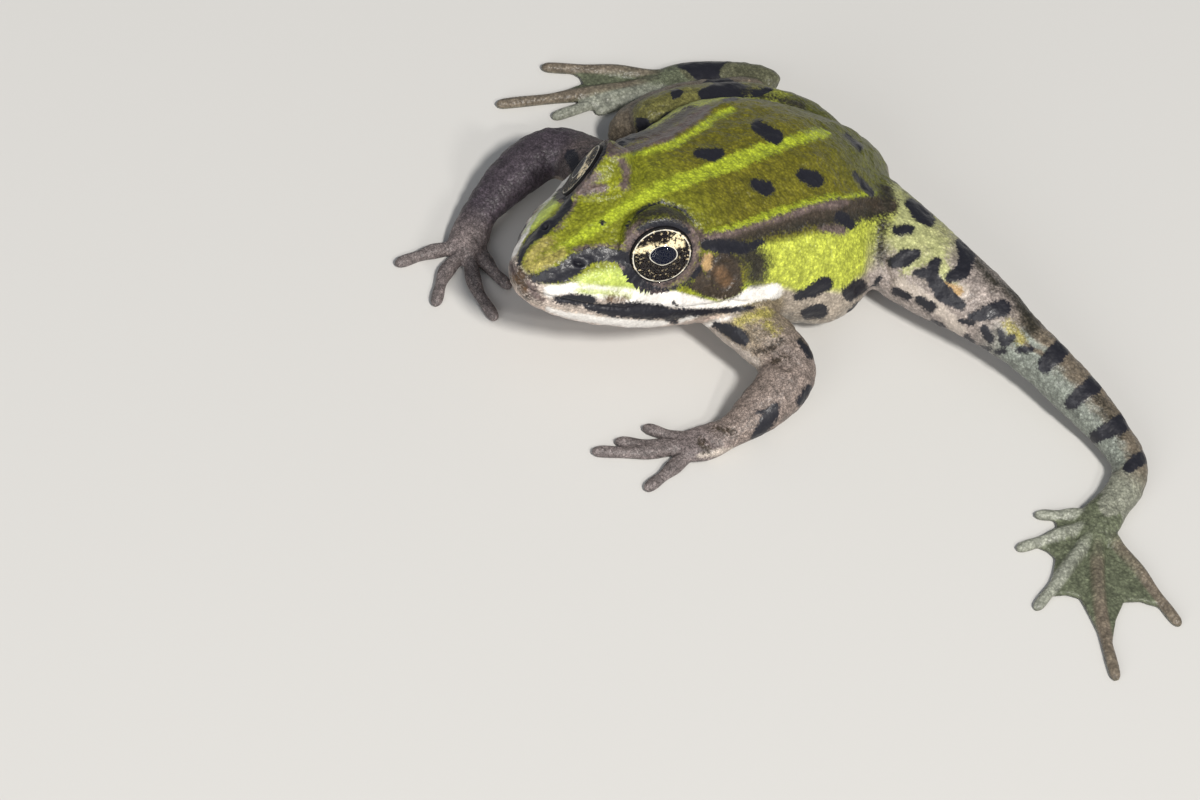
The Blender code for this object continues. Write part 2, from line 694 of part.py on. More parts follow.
def main():
    clear_scene()
    limbs = [limb("arm_l", LEFT_ARM), limb("arm_r", RIGHT_ARM), limb("leg_l", LEFT_LEG)]
    flesh = fuse_flesh([make_trunk(), *limbs], FLESH_TRIANGLES)
    combine(flesh, digits("fingers_l", LEFT_FINGERS, FINGER_ROOT, FINGER_TIP, False), "UNION")
    combine(flesh, digits("fingers_r", RIGHT_FINGERS, FINGER_ROOT, FINGER_TIP, False), "UNION")
    combine(flesh, digits("toes_l", LEFT_TOES, TOE_ROOT, TOE_TIP, True), "UNION")
    extra = {}
    for word, side in (("left", 1), ("right", -1)):
        shape_lids(flesh, side)
        shape_nostril(flesh, side)
        extra[f"tympanum_{word}"] = make_drum(flesh, side, f"tympanum_{word}")
        extra[f"eye_{word}"] = ball(f"eye_{word}", "eye", mirrored(EYE, side), EYE_RADIUS)
    cut_floor(flesh)
    cut_head(flesh)
    cut_joints(flesh, CUTS)
    nodes = name_pieces(flesh)
    nodes.update(make_right_leg())
    nodes.update(extra)
    finish_nodes(nodes)


main()
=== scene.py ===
"""Edible frog: the looks of a still, life-size model, built round its CAD part.

One skin covers all the flesh. The frog faces -Y, its left side is +X, and lengths are in
millimetres until the finished pieces are moved into the row's frame.
"""

import json
import math
from collections import namedtuple

import bmesh
import bpy
import numpy as np
from mathutils import Matrix, Vector
from mathutils.bvhtree import BVHTree

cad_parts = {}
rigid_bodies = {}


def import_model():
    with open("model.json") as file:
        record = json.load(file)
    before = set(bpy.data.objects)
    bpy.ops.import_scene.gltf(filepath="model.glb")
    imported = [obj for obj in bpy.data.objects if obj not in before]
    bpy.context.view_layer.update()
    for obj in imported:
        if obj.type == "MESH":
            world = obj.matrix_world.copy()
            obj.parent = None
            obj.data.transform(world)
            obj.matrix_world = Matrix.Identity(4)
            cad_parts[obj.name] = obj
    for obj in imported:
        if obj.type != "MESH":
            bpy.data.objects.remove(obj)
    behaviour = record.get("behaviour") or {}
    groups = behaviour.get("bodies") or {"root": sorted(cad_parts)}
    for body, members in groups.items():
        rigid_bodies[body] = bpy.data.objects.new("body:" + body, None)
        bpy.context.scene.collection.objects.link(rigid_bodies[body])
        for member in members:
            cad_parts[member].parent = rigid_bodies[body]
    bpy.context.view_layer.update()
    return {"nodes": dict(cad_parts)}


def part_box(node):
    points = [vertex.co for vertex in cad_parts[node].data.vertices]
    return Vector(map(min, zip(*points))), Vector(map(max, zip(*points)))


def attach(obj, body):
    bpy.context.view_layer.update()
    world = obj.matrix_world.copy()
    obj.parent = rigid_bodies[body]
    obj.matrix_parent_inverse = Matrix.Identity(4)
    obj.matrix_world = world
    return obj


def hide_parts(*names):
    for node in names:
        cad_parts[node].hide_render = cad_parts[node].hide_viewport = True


MM = 0.001  # metres in a millimetre

# Trunk and head from the tip of the snout to the vent: y, half width, heights of the widest line,
# the top and the bottom, and how square the section is above and below
BODY = [
    (-42.9, 0.15, 13.6, 13.85, 13.3, 2.0, 2.0),
    (-42.6, 1.70, 13.1, 15.2, 11.6, 2.3, 2.2),
    (-41.7, 2.90, 12.7, 16.1, 10.4, 2.4, 2.4),
    (-40.2, 4.10, 12.3, 16.8, 9.3, 2.4, 2.5),
    (-37.8, 5.80, 11.7, 17.4, 8.1, 2.3, 2.6),
    (-34.5, 7.70, 11.1, 18.1, 6.9, 2.2, 2.6),
    (-31.0, 9.30, 10.5, 18.8, 5.9, 2.2, 2.6),
    (-27.0, 10.50, 9.8, 19.4, 4.9, 2.3, 2.6),
    (-23.0, 11.40, 9.1, 19.7, 3.9, 2.4, 2.5),
    (-19.0, 12.00, 8.4, 19.4, 2.8, 2.4, 2.5),
    (-15.0, 12.70, 7.4, 18.8, 1.4, 2.2, 2.5),
    (-10.0, 14.50, 5.2, 18.1, 0.1, 2.0, 2.5),
    (-5.0, 16.10, 3.8, 17.3, -0.35, 1.9, 2.6),
    (0.0, 15.10, 3.5, 16.0, -0.40, 1.9, 2.6),
    (4.5, 12.30, 3.7, 13.9, -0.35, 1.95, 2.4),
    (8.5, 8.60, 4.3, 11.4, 0.0, 2.0, 2.2),
    (11.8, 5.60, 4.5, 8.9, 0.9, 2.0, 2.0),
    (14.0, 3.00, 4.5, 6.7, 2.3, 2.0, 2.0),
    (14.9, 0.30, 4.4, 4.8, 4.0, 2.0, 2.0),
]
BODY_STEPS = 6
BODY_SIDES = 96

# Eyes, eardrums, nostrils and the line of the mouth, on the left
EYE = (5.8, -28.2, 17.4)
EYE_RADIUS = 3.9
IRIS_WAY = (0.81, -0.48, 0.33)
LID_RADIUS = 4.75
DRUM = (-21.3, 13.9)
DRUM_RADIUS = 2.0
NOSTRIL = (2.9, -37.7, 16.9)
MOUTH = [(-46.0, 13.75), (-42.7, 13.6), (-37.8, 12.8), (-31.0, 11.7), (-24.0, 10.6), (-19.0, 9.7),
         (-16.2, 9.1)]

# Limb points: x, y, z, half width, half height
LEFT_ARM = [
    (4.0, -17.0, 7.2, 4.4, 4.0),
    (9.5, -17.2, 6.5, 4.2, 3.7),
    (14.2, -16.9, 6.0, 3.6, 3.1),
    (18.5, -16.1, 5.4, 3.3, 2.9),
    (20.8, -16.8, 4.9, 3.0, 2.8),
    (21.9, -19.5, 4.2, 3.05, 2.8),
    (22.5, -22.9, 3.2, 2.7, 2.3),
    (22.6, -26.4, 2.1, 1.95, 1.6),
    (22.1, -29.4, 1.4, 2.4, 1.4),
    (21.4, -31.6, 1.1, 2.2, 1.1),
    (21.1, -32.6, 1.0, 1.3, 0.8),
]
RIGHT_ARM = [
    (-4.0, -17.0, 7.2, 4.4, 4.0),
    (-9.5, -17.6, 6.5, 4.2, 3.7),
    (-14.0, -18.2, 6.0, 3.6, 3.1),
    (-17.4, -18.8, 5.3, 3.1, 2.8),
    (-18.9, -20.6, 4.7, 3.0, 2.7),
    (-18.9, -23.6, 4.1, 3.0, 2.6),
    (-18.2, -27.4, 3.2, 2.7, 2.2),
    (-16.9, -31.5, 2.1, 2.1, 1.7),
    (-15.2, -34.2, 1.4, 2.4, 1.4),
    (-14.0, -36.0, 1.1, 2.2, 1.1),
    (-13.5, -36.9, 1.0, 1.3, 0.8),
]
LEFT_LEG = [
    (0.5, 6.8, 5.2, 4.6, 4.4),
    (5.5, 6.6, 5.4, 5.6, 4.9),
    (11.5, 6.8, 5.6, 6.1, 4.9),
    (18.0, 8.0, 5.8, 5.5, 4.4),
    (24.5, 9.7, 5.8, 4.3, 3.7),
    (29.0, 10.8, 5.3, 3.4, 3.1),
    (33.5, 11.9, 4.6, 3.0, 2.8),
    (38.5, 12.7, 3.8, 2.9, 2.6),
    (44.0, 13.2, 2.9, 2.4, 2.2),
    (48.6, 12.7, 2.2, 2.1, 1.9),
    (51.0, 10.2, 1.8, 2.2, 1.6),
    (52.0, 7.4, 1.4, 2.2, 1.3),
    (52.9, 4.9, 1.2, 2.6, 1.2),
    (54.2, 2.4, 1.0, 2.2, 0.9),
    (54.9, 1.3, 0.9, 1.2, 0.7),
]
RIGHT_THIGH = [
    (-3.4, 9.8, 4.7, 3.6, 3.9),
    (-7.4, 7.6, 5.2, 4.5, 4.3),
    (-11.3, 3.8, 5.5, 4.6, 4.3),
    (-14.0, -1.0, 5.6, 4.1, 4.0),
    (-15.8, -5.0, 5.4, 3.5, 3.6),
    (-16.7, -7.8, 5.0, 2.6, 3.0),
    (-17.0, -9.0, 4.8, 1.2, 1.5),
]
RIGHT_SHANK = [
    (-17.6, -9.8, 3.7, 1.3, 1.5),
    (-18.0, -8.6, 3.3, 2.3, 2.6),
    (-18.7, -4.6, 2.8, 2.6, 2.7),
    (-18.6, 0.4, 2.6, 2.6, 2.6),
    (-17.5, 5.6, 2.4, 2.3, 2.3),
    (-16.4, 9.8, 2.1, 2.0, 1.9),
    (-15.9, 11.4, 2.0, 1.2, 1.2),
]
RIGHT_FOOT = [
    (-16.0, 13.0, 1.9, 1.2, 1.2),
    (-17.4, 12.6, 1.8, 2.0, 1.6),
    (-20.1, 9.6, 1.5, 2.1, 1.4),
    (-22.0, 5.6, 1.2, 2.5, 1.3),
    (-23.0, 2.6, 1.0, 2.2, 1.0),
    (-23.4, 1.4, 0.9, 1.2, 0.7),
]
LIMB_SIDES = 40
LIMB_RINGS = 12  # for each pair of points

# Fingers and toes: root x y, middle x y, tip x y
LEFT_FINGERS = [
    ((22.0, -29.0), (19.6, -31.4), (16.9, -33.4)),
    ((21.4, -30.6), (19.4, -34.3), (16.9, -37.5)),
    ((21.2, -31.2), (19.4, -36.2), (16.7, -40.8)),
    ((21.9, -31.0), (22.8, -35.0), (23.5, -38.8)),
]
RIGHT_FINGERS = [
    ((-14.4, -33.8), (-11.0, -34.6), (-8.0, -34.4)),
    ((-13.8, -35.2), (-9.6, -37.8), (-5.0, -38.8)),
    ((-14.0, -35.8), (-12.4, -40.0), (-9.8, -43.3)),
    ((-14.6, -35.4), (-15.8, -39.4), (-16.3, -43.3)),
]
LEFT_TOES = [
    ((52.2, 5.2), (50.4, 2.2), (48.6, -0.6)),
    ((53.0, 3.6), (52.0, -1.2), (51.2, -5.8)),
    ((53.9, 2.6), (56.4, -3.8), (58.6, -9.8)),
    ((54.6, 2.6), (62.4, -3.8), (70.6, -8.6)),
    ((54.2, 4.2), (61.4, 3.8), (68.2, 3.2)),
]
RIGHT_TOES = [
    ((-22.2, 5.0), (-22.4, 1.0), (-22.8, -2.8)),
    ((-22.7, 3.4), (-23.2, -2.2), (-23.7, -7.0)),
    ((-23.0, 2.6), (-24.6, -5.2), (-25.5, -12.2)),
    ((-23.4, 2.6), (-26.6, -7.6), (-30.0, -17.0)),
    ((-23.2, 4.0), (-28.0, -2.2), (-32.0, -8.4)),
]
FINGER_ROOT = 1.0
FINGER_TIP = 0.66
TOE_ROOT = 1.05
TOE_TIP = 0.60
DIGIT_SIDES = 20
DIGIT_STEPS = 8
DIGIT_FLAT = 0.92  # height of a finger or toe for each millimetre of width
DIGIT_SUNK = 0.12
DIGIT_TOP = 2.3  # highest skin of a hand or foot
DIGIT_END = 1.3  # length of the rounded end in half widths
END_STEPS = (0.35, 0.6, 0.8, 0.95)
KNUCKLE = 0.12
KNUCKLE_HIGH = 0.4
KNUCKLE_FROM = 0.15
KNUCKLE_PLACE = 0.45
WEB_LOW = 0.20
WEB_HIGH = 0.85
WEB_REACH = 0.86
WEB_DIP = 0.58
WEB_EDGE = (0.25, 0.5, 0.75)  # places between one toe and the next

# The photograph's camera, found from the head, and the point that it was fitted about
AZIMUTH = 35.625
ELEVATION = 46.534
ROLL = -19.898
PIXELS_PER_MM = 8.793
MIDDLE = Vector((0.0, -10.0, 10.0))
MIDDLE_PIXEL = (729.893, 201.047)
DISTANCE = 1000.0
PHOTO_SIZE = (1200, 800)
SENSOR = 36.0

# Grids in which the flesh is fused, first for soft joins and then for detail
SOFT_VOXEL = 0.5
SOFT_PASSES = 7
FINE_VOXEL = 0.22
FINE_PASSES = 5
SMOOTH_FACTOR = 0.5

# Fold along the left of the back: x, y, z from behind the eye to the groin
BACK_FOLD = [(6.9, -24.5, 19.1), (7.9, -19.0, 18.2), (8.3, -14.0, 17.1), (8.6, -8.0, 15.9),
             (8.6, -3.0, 14.9), (7.6, 3.0, 12.4), (6.2, 8.0, 9.4)]

# Forms raised or sunk on the skin: height and half width in millimetres
Form = namedtuple("Form", "height width")
MOUTH_GROOVE = Form(-0.42, 0.26)
LIP_SWELL = Form(0.16, 0.5)
LIP_RAISED = 0.75
HEAD_Y = (-15.5, -17.5)  # where the forms of the mouth start and are full
NOSTRIL_LONG = (0.3, 0.4)  # x and y from one end of a nostril to the other
NOSTRIL_RIM = Form(0.28, 0.85)
NOSTRIL_PIT = Form(-0.75, 0.34)
DRUM_RING = Form(0.20, 0.28)
DRUM_MIDDLE = Form(0.12, 0.6)
DRUM_SUNK = 0.20
DRUM_EDGE = 0.5
HIP_RIDGE = Form(0.28, 1.0)
HIP_LINE = [(3.2, -3.5, 16.6), (1.6, 10.5, 10.0)]
SPINE_GROOVE = Form(-0.20, 1.0)
SPINE_LINE = [(0, -24, 19.8), (0, -10, 18.2), (0, -4.0, 17.2)]

# Uneven skin: height, size of the lumps, seed, and how much they are squeezed each way
Lumps = namedtuple("Lumps", "height size seed squeeze", defaults=((1, 1, 1),))
FLANK_LUMPS = Lumps(0.35, 1.3, 5, (0.5, 1.0, 0.45))
BACK_RIPPLE = Lumps(0.22, 2.0, 6, (1.0, 0.6, 1.0))
COARSE_GRAIN = Lumps(0.16, 0.95, 8)
FINE_GRAIN = Lumps(0.09, 0.55, 9)
GRAIN_Z = (1.0, 2.5)  # heights where the grain starts and is full
TRUNK_FRONT = (-22, -14)  # where the trunk's lumps start and are full, from the head along y
TRUNK_REAR = (12, 6)  # the same from the vent

# Folds and grooves, as places in the photograph, with height and half width in millimetres
Crease = namedtuple("Crease", "places height width")
CREASES = [  # on both sides
    Crease([(628, 226), (645, 208), (662, 202), (681, 208), (694, 223), (703, 236)], -0.35, 0.35),
    Crease([(545, 267), (572, 252), (600, 245), (624, 247)], 0.28, 0.60),
    Crease([(560, 281), (578, 275), (600, 265), (625, 270)], -0.20, 0.70),
    Crease([(700, 252), (722, 250), (745, 256)], 0.22, 0.60),
    Crease([(742, 300), (757, 298), (775, 293)], 0.40, 0.75),
    Crease([(686, 327), (706, 320), (738, 312)], -0.30, 0.30),
    Crease([(690, 333), (712, 326), (740, 316)], 0.25, 0.40),
    Crease([(742, 330), (752, 345), (768, 356)], -0.18, 0.40),
    Crease([(764, 358), (775, 361), (786, 367)], -0.40, 0.40),
    Crease([(758, 368), (772, 371), (790, 378)], 0.14, 0.50),
    Crease([(770, 344), (786, 352), (800, 366)], -0.16, 0.45),
    Crease([(706, 438), (716, 446), (722, 455)], -0.22, 0.35),
    Crease([(884, 262), (889, 280), (884, 300)], -0.35, 0.45),
    Crease([(1020, 332), (1030, 345), (1042, 350)], -0.28, 0.50),
    Crease([(1013, 345), (1022, 356), (1036, 360)], -0.22, 0.45),
]
FOLD_CREASES = [  # each on its own side
    Crease([(702, 239), (735, 232), (777, 218), (820, 205), (874, 197)], 0.55, 0.80),
    Crease([(616, 158), (645, 149), (670, 141), (692, 128), (712, 113), (730, 105)], 0.50, 0.80),
]

# Markings, in the order in which they are laid on: each is a string of places in the photograph
# with its half width there, all in pixels, and the skin that they cover is found from the camera
Layer = namedtuple("Layer", "name colour soft ragged grit")
LAYERS = [
    Layer("cream", (0.510, 0.440, 0.380), 0.30, 0.6, 0.6),
    Layer("lime", (0.440, 0.520, 0.030), 0.32, 0.7, 1.0),
    Layer("yellow", (0.400, 0.345, 0.090), 0.50, 0.9, 1.0),
    Layer("white", (0.830, 0.795, 0.750), 0.22, 0.3, 0.4),
    Layer("cheek", (0.540, 0.640, 0.130), 0.60, 0.4, 0.7),
    Layer("straw", (0.480, 0.490, 0.220), 0.70, 1.4, 0.8),
    Layer("brown", (0.052, 0.037, 0.025), 0.35, 0.8, 1.0),
    Layer("mauve", (0.155, 0.112, 0.102), 0.32, 0.5, 1.0),
    Layer("russet", (0.155, 0.088, 0.043), 0.50, 0.5, 1.0),
    Layer("dusk", (0.030, 0.026, 0.016), 0.85, 0.8, 1.0),
    Layer("tan", (0.450, 0.290, 0.130), 0.22, 0.5, 0.7),
    Layer("black", (0.010, 0.010, 0.016), 0.18, 0.4, 0.3),
]

BOTH_SIDES = {
    "cream": [
        [(688, 333, 4), (706, 326, 4), (738, 314, 4)],
    ],
    "lime": [
        [(690, 289, 2), (706, 297, 3), (722, 302, 3), (738, 294, 3), (748, 286, 4)],
    ],
    "yellow": [
        [(532, 268, 6), (545, 262, 8), (560, 254, 6)],
    ],
    "white": [
        [(549, 291, 6), (562, 290, 5), (578, 288, 6), (600, 292, 7), (625, 295, 8), (650, 298, 8),
         (672, 299, 9), (695, 303, 6), (718, 306, 4), (738, 301, 6), (754, 294, 8), (776, 291, 7)],
        [(548, 309, 2), (562, 314, 3), (582, 318, 4), (605, 321, 4), (632, 324, 5), (656, 324, 4),
         (668, 322, 2)], [(680, 321, 2), (690, 317, 3), (698, 314, 2)],
        [(690, 332, 1), (706, 326, 2), (730, 317, 1)],
    ],
    "cheek": [
        [(578, 291, 1), (598, 292, 2), (614, 294, 2), (630, 296, 1)],
        [(582, 280, 4), (600, 277, 8), (618, 277, 10), (632, 281, 7), (646, 289, 3)],
    ],
    "brown": [
        [(706, 262, 8), (723, 270, 19), (728, 284, 15)], [(690, 285, 3), (706, 290, 7), (720, 293, 8)],
        [(697, 262, 4), (701, 280, 8), (714, 290, 7)], [(520, 262, 3), (519, 280, 3), (527, 296, 3)],
        [(576, 267, 3), (584, 266, 3)],
    ],
    "mauve": [
        [(575, 250, 2), (600, 246, 2), (626, 247, 3)], [(630, 246, 6), (630, 230, 4), (641, 221, 3)],
        [(679, 221, 3), (692, 229, 4), (700, 238, 5)],
        [(631, 264, 3), (640, 277, 3), (655, 284, 2), (672, 285, 2), (686, 278, 3), (697, 265, 3)],
        [(528, 284, 4), (534, 293, 5), (543, 300, 3)],
    ],
    "russet": [
        [(720, 272, 6), (726, 280, 6)], [(610, 299, 4), (624, 299, 3)], [(519, 275, 2), (524, 290, 3)],
    ],
    "dusk": [
        [(744, 250, 10), (758, 262, 12), (756, 276, 9)],
        [(884, 158, 8), (888, 200, 7), (880, 240, 5), (880, 258, 5)],
        [(628, 252, 3), (629, 262, 4), (640, 280, 2)],
    ],
    "tan": [
        [(708, 257, 4), (706, 266, 5)],
    ],
    "black": [
        [(533, 279, 3), (548, 276, 7), (562, 273, 9), (575, 264, 11), (590, 256, 8), (606, 254, 7),
         (622, 257, 7), (634, 265, 8)], [(706, 245, 5), (722, 246, 7), (745, 248, 6), (762, 242, 3)],
        [(558, 300, 4), (572, 299, 6), (592, 301, 5)],
        [(588, 306, 4), (604, 309, 6), (620, 310, 8), (642, 311, 9), (658, 312, 8), (670, 314, 6),
         (690, 313, 4), (720, 311, 3), (752, 308, 3)], [(664, 316, 4), (675, 321, 3)],
        [(842, 218, 7), (850, 224, 6)], [(797, 297, 4), (812, 291, 7), (826, 283, 7)],
        [(807, 313, 6), (820, 311, 8)], [(849, 293, 8), (860, 287, 8)],
        [(850, 311, 3), (866, 298, 4), (880, 278, 3)], [(716, 325, 4), (728, 330, 7), (742, 338, 7)],
        [(800, 341, 4), (811, 356, 4)], [(816, 366, 2), (816, 380, 3)], [(810, 388, 4), (800, 402, 5)],
        [(775, 407, 5), (771, 415, 8), (765, 425, 7), (756, 438, 5)], [(769, 411, 4), (757, 412, 2)],
        # painted shadow: the dark gap under the upper lid, above the iris
        [(638, 229, 2), (650, 225, 4), (664, 223, 5), (678, 226, 4), (688, 232, 2)],
        [(626, 262, 2), (634, 279, 2), (650, 289, 2), (670, 290, 2), (688, 283, 2), (700, 268, 3)],
    ],
}
ONE_SIDE = {
    "cream": [
        [(718, 335, 4), (732, 347, 5), (757, 363, 4)], [(806, 403, 4), (782, 424, 4), (764, 435, 3)],
        [(700, 456, 2), (745, 447, 3)], [(940, 284, 8), (962, 292, 8)],
        [(900, 283, 6), (935, 305, 7), (960, 330, 6)],
    ],
    "lime": [
        [(540, 264, 3), (560, 249, 4), (603, 223, 5), (630, 204, 6), (658, 190, 6), (690, 178, 7),
         (733, 162, 8), (777, 146, 7), (820, 133, 5), (853, 127, 3)],
        [(700, 238, 2), (735, 228, 4), (777, 214, 5), (820, 201, 4), (874, 193, 2)],
        [(620, 158, 2), (650, 151, 3), (675, 143, 4), (696, 131, 4), (714, 118, 4), (732, 109, 3)],
    ],
    "straw": [
        [(896, 190, 6), (903, 215, 8), (922, 236, 11), (938, 250, 10)], [(900, 243, 8), (918, 240, 8)],
        [(930, 256, 7), (908, 268, 5)], [(940, 262, 5), (950, 290, 5)],
    ],
    "brown": [
        [(714, 427, 2), (724, 431, 3), (733, 432, 3)], [(700, 442, 2), (706, 449, 3)],
        [(756, 352, 2), (770, 349, 3), (781, 341, 2)], [(774, 361, 2), (788, 357, 3)],
        [(705, 243, 6), (735, 238, 7), (777, 226, 8), (812, 216, 10), (850, 210, 12), (890, 206, 10)],
        # the far flank below its fold: partly its own dark band, partly painted shade
        [(600, 151, 4), (634, 138, 5), (660, 130, 6), (680, 116, 6), (694, 108, 4)],
    ],
    "mauve": [
        [(702, 240, 4), (735, 232, 3), (777, 219, 3), (812, 207, 4), (845, 202, 4)],
        [(822, 227, 5), (842, 229, 6)],
        # the far flank below its fold: partly its own mauve band, partly painted shade
        [(612, 154, 4), (640, 145, 4), (665, 137, 5), (686, 124, 5), (706, 110, 5)],
        [(578, 192, 5), (590, 188, 6), (603, 188, 5)], [(621, 160, 4), (627, 172, 4), (624, 186, 5)],
    ],
    "yellow": [
        [(740, 321, 5), (752, 316, 5), (768, 312, 4)], [(768, 325, 3), (776, 331, 3)],
        [(1008, 325, 5), (1020, 340, 5)],
    ],
    "tan": [
        [(944, 286, 5), (958, 292, 5)],
    ],
    "dusk": [
        [(740, 244, 3), (777, 232, 3), (812, 224, 4), (850, 218, 5), (888, 212, 5)],
        [(641, 215, 7), (662, 210, 8), (684, 217, 7)],
        [(1004, 286, 5), (1021, 300, 10), (1032, 326, 9)], [(945, 222, 6), (960, 236, 6)],
        [(978, 262, 5), (996, 284, 6)], [(1096, 396, 3), (1120, 434, 4)],
    ],
    "black": [
        [(698, 153, 5), (712, 155, 7), (720, 153, 5)], [(757, 126, 7), (776, 137, 8)],
        [(755, 184, 6), (766, 189, 8)], [(803, 174, 6), (815, 180, 9)], [(846, 135, 3), (860, 148, 4)],
        [(854, 174, 3), (871, 193, 4)], [(602, 222, 2), (603, 223, 2)],
        # the dark arc in the crease round the near lid: partly its own dark edge, partly painted shade
        [(626, 226, 2), (643, 208, 2), (662, 202, 2), (682, 209, 2), (694, 222, 2)],
        [(674, 303, 2), (676, 304, 2)], [(911, 204, 6), (920, 211, 10), (929, 220, 7)],
        [(897, 231, 5), (908, 230, 6)], [(893, 263, 6), (905, 258, 9), (916, 254, 5)],
        [(936, 262, 5), (930, 273, 8), (916, 273, 4)], [(932, 278, 7), (943, 294, 9), (960, 305, 6)],
        [(962, 243, 6), (967, 256, 9), (962, 271, 8), (950, 278, 5)],
        [(971, 317, 4), (986, 313, 8), (1003, 308, 9)], [(896, 291, 4), (908, 297, 4)],
        [(919, 300, 4), (931, 307, 6)], [(933, 322, 3), (942, 328, 4)], [(950, 333, 3), (957, 338, 4)],
        [(961, 321, 3), (972, 324, 3)], [(966, 337, 3), (973, 343, 3)], [(984, 329, 4), (990, 339, 5)],
        [(1000, 331, 3), (1004, 343, 5), (1013, 337, 4)], [(979, 347, 3), (988, 349, 3)],
        [(996, 353, 3), (1004, 351, 3)], [(1020, 350, 4), (1032, 349, 3)],
        [(1045, 366, 8), (1060, 349, 10)], [(1071, 404, 7), (1094, 384, 9)],
        [(1096, 437, 7), (1121, 424, 10)], [(1129, 467, 6), (1142, 457, 7)],
    ],
}

# Inside the eye: the way that the pupil runs, sizes in millimetres, and gloss
PUPIL_WAY = (0.05, 1.0, -0.09)
IRIS_RADIUS = 3.45
IRIS_DEPTH = 1.76
IRIS_RISE = 0.45
RING_RADIUS = 3.27
CORNEA_GAP = 0.10
CORNEA_MIRROR = 0.010
CORNEA_ROUGHNESS = 0.03
IRIS_SPECULAR = 0.12
PUPIL_LONG = 1.50
PUPIL_TALL = 1.16
PUPIL_POINTED = 0.35
PUPIL_OFF = 0.12
PUPIL_RAISED = 0.20

# Eyelids: angles in degrees from the way that the eye looks, and millimetres from its centre
LID_SIDES = 64
LID_RINGS = 40
LID_ANGLE = 67.0
LID_BEVEL = (LID_ANGLE - 7, LID_ANGLE + 3)
LID_CLEAR = (LID_ANGLE + 4, LID_ANGLE + 20)
LID_INSIDE = 1.2
LID_MARGIN = EYE_RADIUS + 0.40
LID_FREE = 8.0
LID_REACH = (LID_RADIUS + 3.0, LID_RADIUS + 0.8)
LID_SKIN = LID_RADIUS + 0.6
LID_MAUVE = 0.60  # widths of the coloured margins
# the black margin is partly the lid's own dark edge and partly painted shadow under the overhanging lid
LID_DARK_AND_SHADOW = 0.05

# Where the lime flank ends and the pale side begins, from the shoulder to the rump
SIDE_LINE_Y = [-18.0, -12.0, -5.0, 2.0, 8.0]
SIDE_LINE_Z = [9.2, 9.0, 7.6, 6.4, 6.2]

# Where a broad colour starts and where it is full: along y, below the fold or the line of the mouth,
# or by how much the skin faces up; and the edges of the hands and feet
HEAD_GREEN_Y = (-16, -26)
REAR_OLIVE_Y = (-2, 8)
FLANK_DROP = (1.8, 3.0)
FLANK_RADIUS = 12.0
FLANK_FRONT = (-18.5, -16)
FLANK_REAR = (9, 5)
SIDE_FRONT = (-20, -16)
UNDERSIDE = (0.1, -0.55)
LIP_TOP = (2.0, 1.2)
LIP_FOOT = (-2.6, -1.2)
LIP_Y = (-18, -20)
THROAT_DROP = (-0.8, -2.4)
THROAT_Y = (-15, -18)
ARM_UNDERSIDE = (-0.15, -0.65)
LEG_UNDERSIDE = (-0.1, -0.7)
HAND_Y = (-33.0, -30.0)
HAND_X = 13
FOOT_X = (-21, 47)
FOOT_Y = 6.5

# The same on the limbs: shares of a limb's length, places along x, or how far the skin faces one way
YELLOW_ALONG = (0.32, 0.14)
HAND_ALONG = (0.68, 0.85)
FOOT_ALONG = (0.66, 0.74)
THIGH_TOP = (0.35, 0.95)
THIGH_X = (21, 14)
SHANK_X = (26.5, 31)
SHANK_INSIDE = (-0.15, -0.65)
ARM_X = (11.0, 13.5)
LEG_X = (11, 15.5)
FAR_LEG_X = (-10, -12.5)

# How far the colours of limbs, toes and fingers reach from their middle lines
NEAR_SWELL = 1.25  # this and the next three in widths of the limb
FAR_SWELL = 1.1
LIMB_FADE = 0.35
LIMB_FAR = 9.0
LIMB_STEPS = 6
CURVE_STEPS = 4
TOE_LINE_Z = 0.8
TOE_COVER = 0.75

# Uneven colours: share or millimetres, size of the blotches, seed, and how much they are squeezed
ARM_BLOTCHES = Lumps(0.7, 2.2, 11)
ARM_EVEN = 0.3
SIDE_ROUGH = Lumps(1.2, 2.6, 3)
EDGE_ROUGH = (Lumps(0.5, 0.7, 21), Lumps(0.5, 1.6, 22))
MARBLING = (Lumps(0.65, 4.2, 31, (0.8, 1.2, 1.0)), Lumps(0.35, 1.9, 32))
MARBLING_RIGHT = 0.60
MARBLING_LEFT = 0.61
MARBLING_SCALE = 7

# How salt-and-pepper each region is
TRUNK_GRIT = 0.35
LEG_GRIT = 0.5
FAR_LEG_GRIT = 0.6

# Numbers that scramble a cell's place and a seed into a random value
CELL_PRIMES = (374761393, 668265263, 1274126177)
SEED_PRIME = 69069
MIX_PRIME = 1103515245
LOW_BITS = 0xFFFFFFFF
SEED_SHIFT = 17.3

ACROSS = np.array((-1, 1, 1))  # from one side of the frog to the other
FAR = 6.0  # millimetres beyond which a marking has no effect
STEEPEST = 1.7  # how much longer a marking may be on slanting skin than it looks
EDGE_REACH = 1.2  # how near to a marking the picture's plane is used
TINY = 1e-9

# Broad colours
OLIVE = (0.158, 0.144, 0.008)
HEAD_GREEN = (0.235, 0.250, 0.014)
REAR_OLIVE = (0.100, 0.105, 0.014)
FLANK_LIME = (0.520, 0.570, 0.070)
CREAM = (0.420, 0.355, 0.285)
# the belly: its pale colour darkened with painted shade
PALE_BELLY_IN_PAINTED_SHADE = (0.400, 0.355, 0.300)
THROAT = (0.560, 0.440, 0.370)
LIP_CREAM = (0.520, 0.440, 0.380)
ARM_GREY = (0.240, 0.190, 0.165)
ARM_YELLOW = (0.250, 0.200, 0.100)
HAND_GREY = (0.190, 0.155, 0.150)
FINGER_GREY = (0.185, 0.155, 0.150)
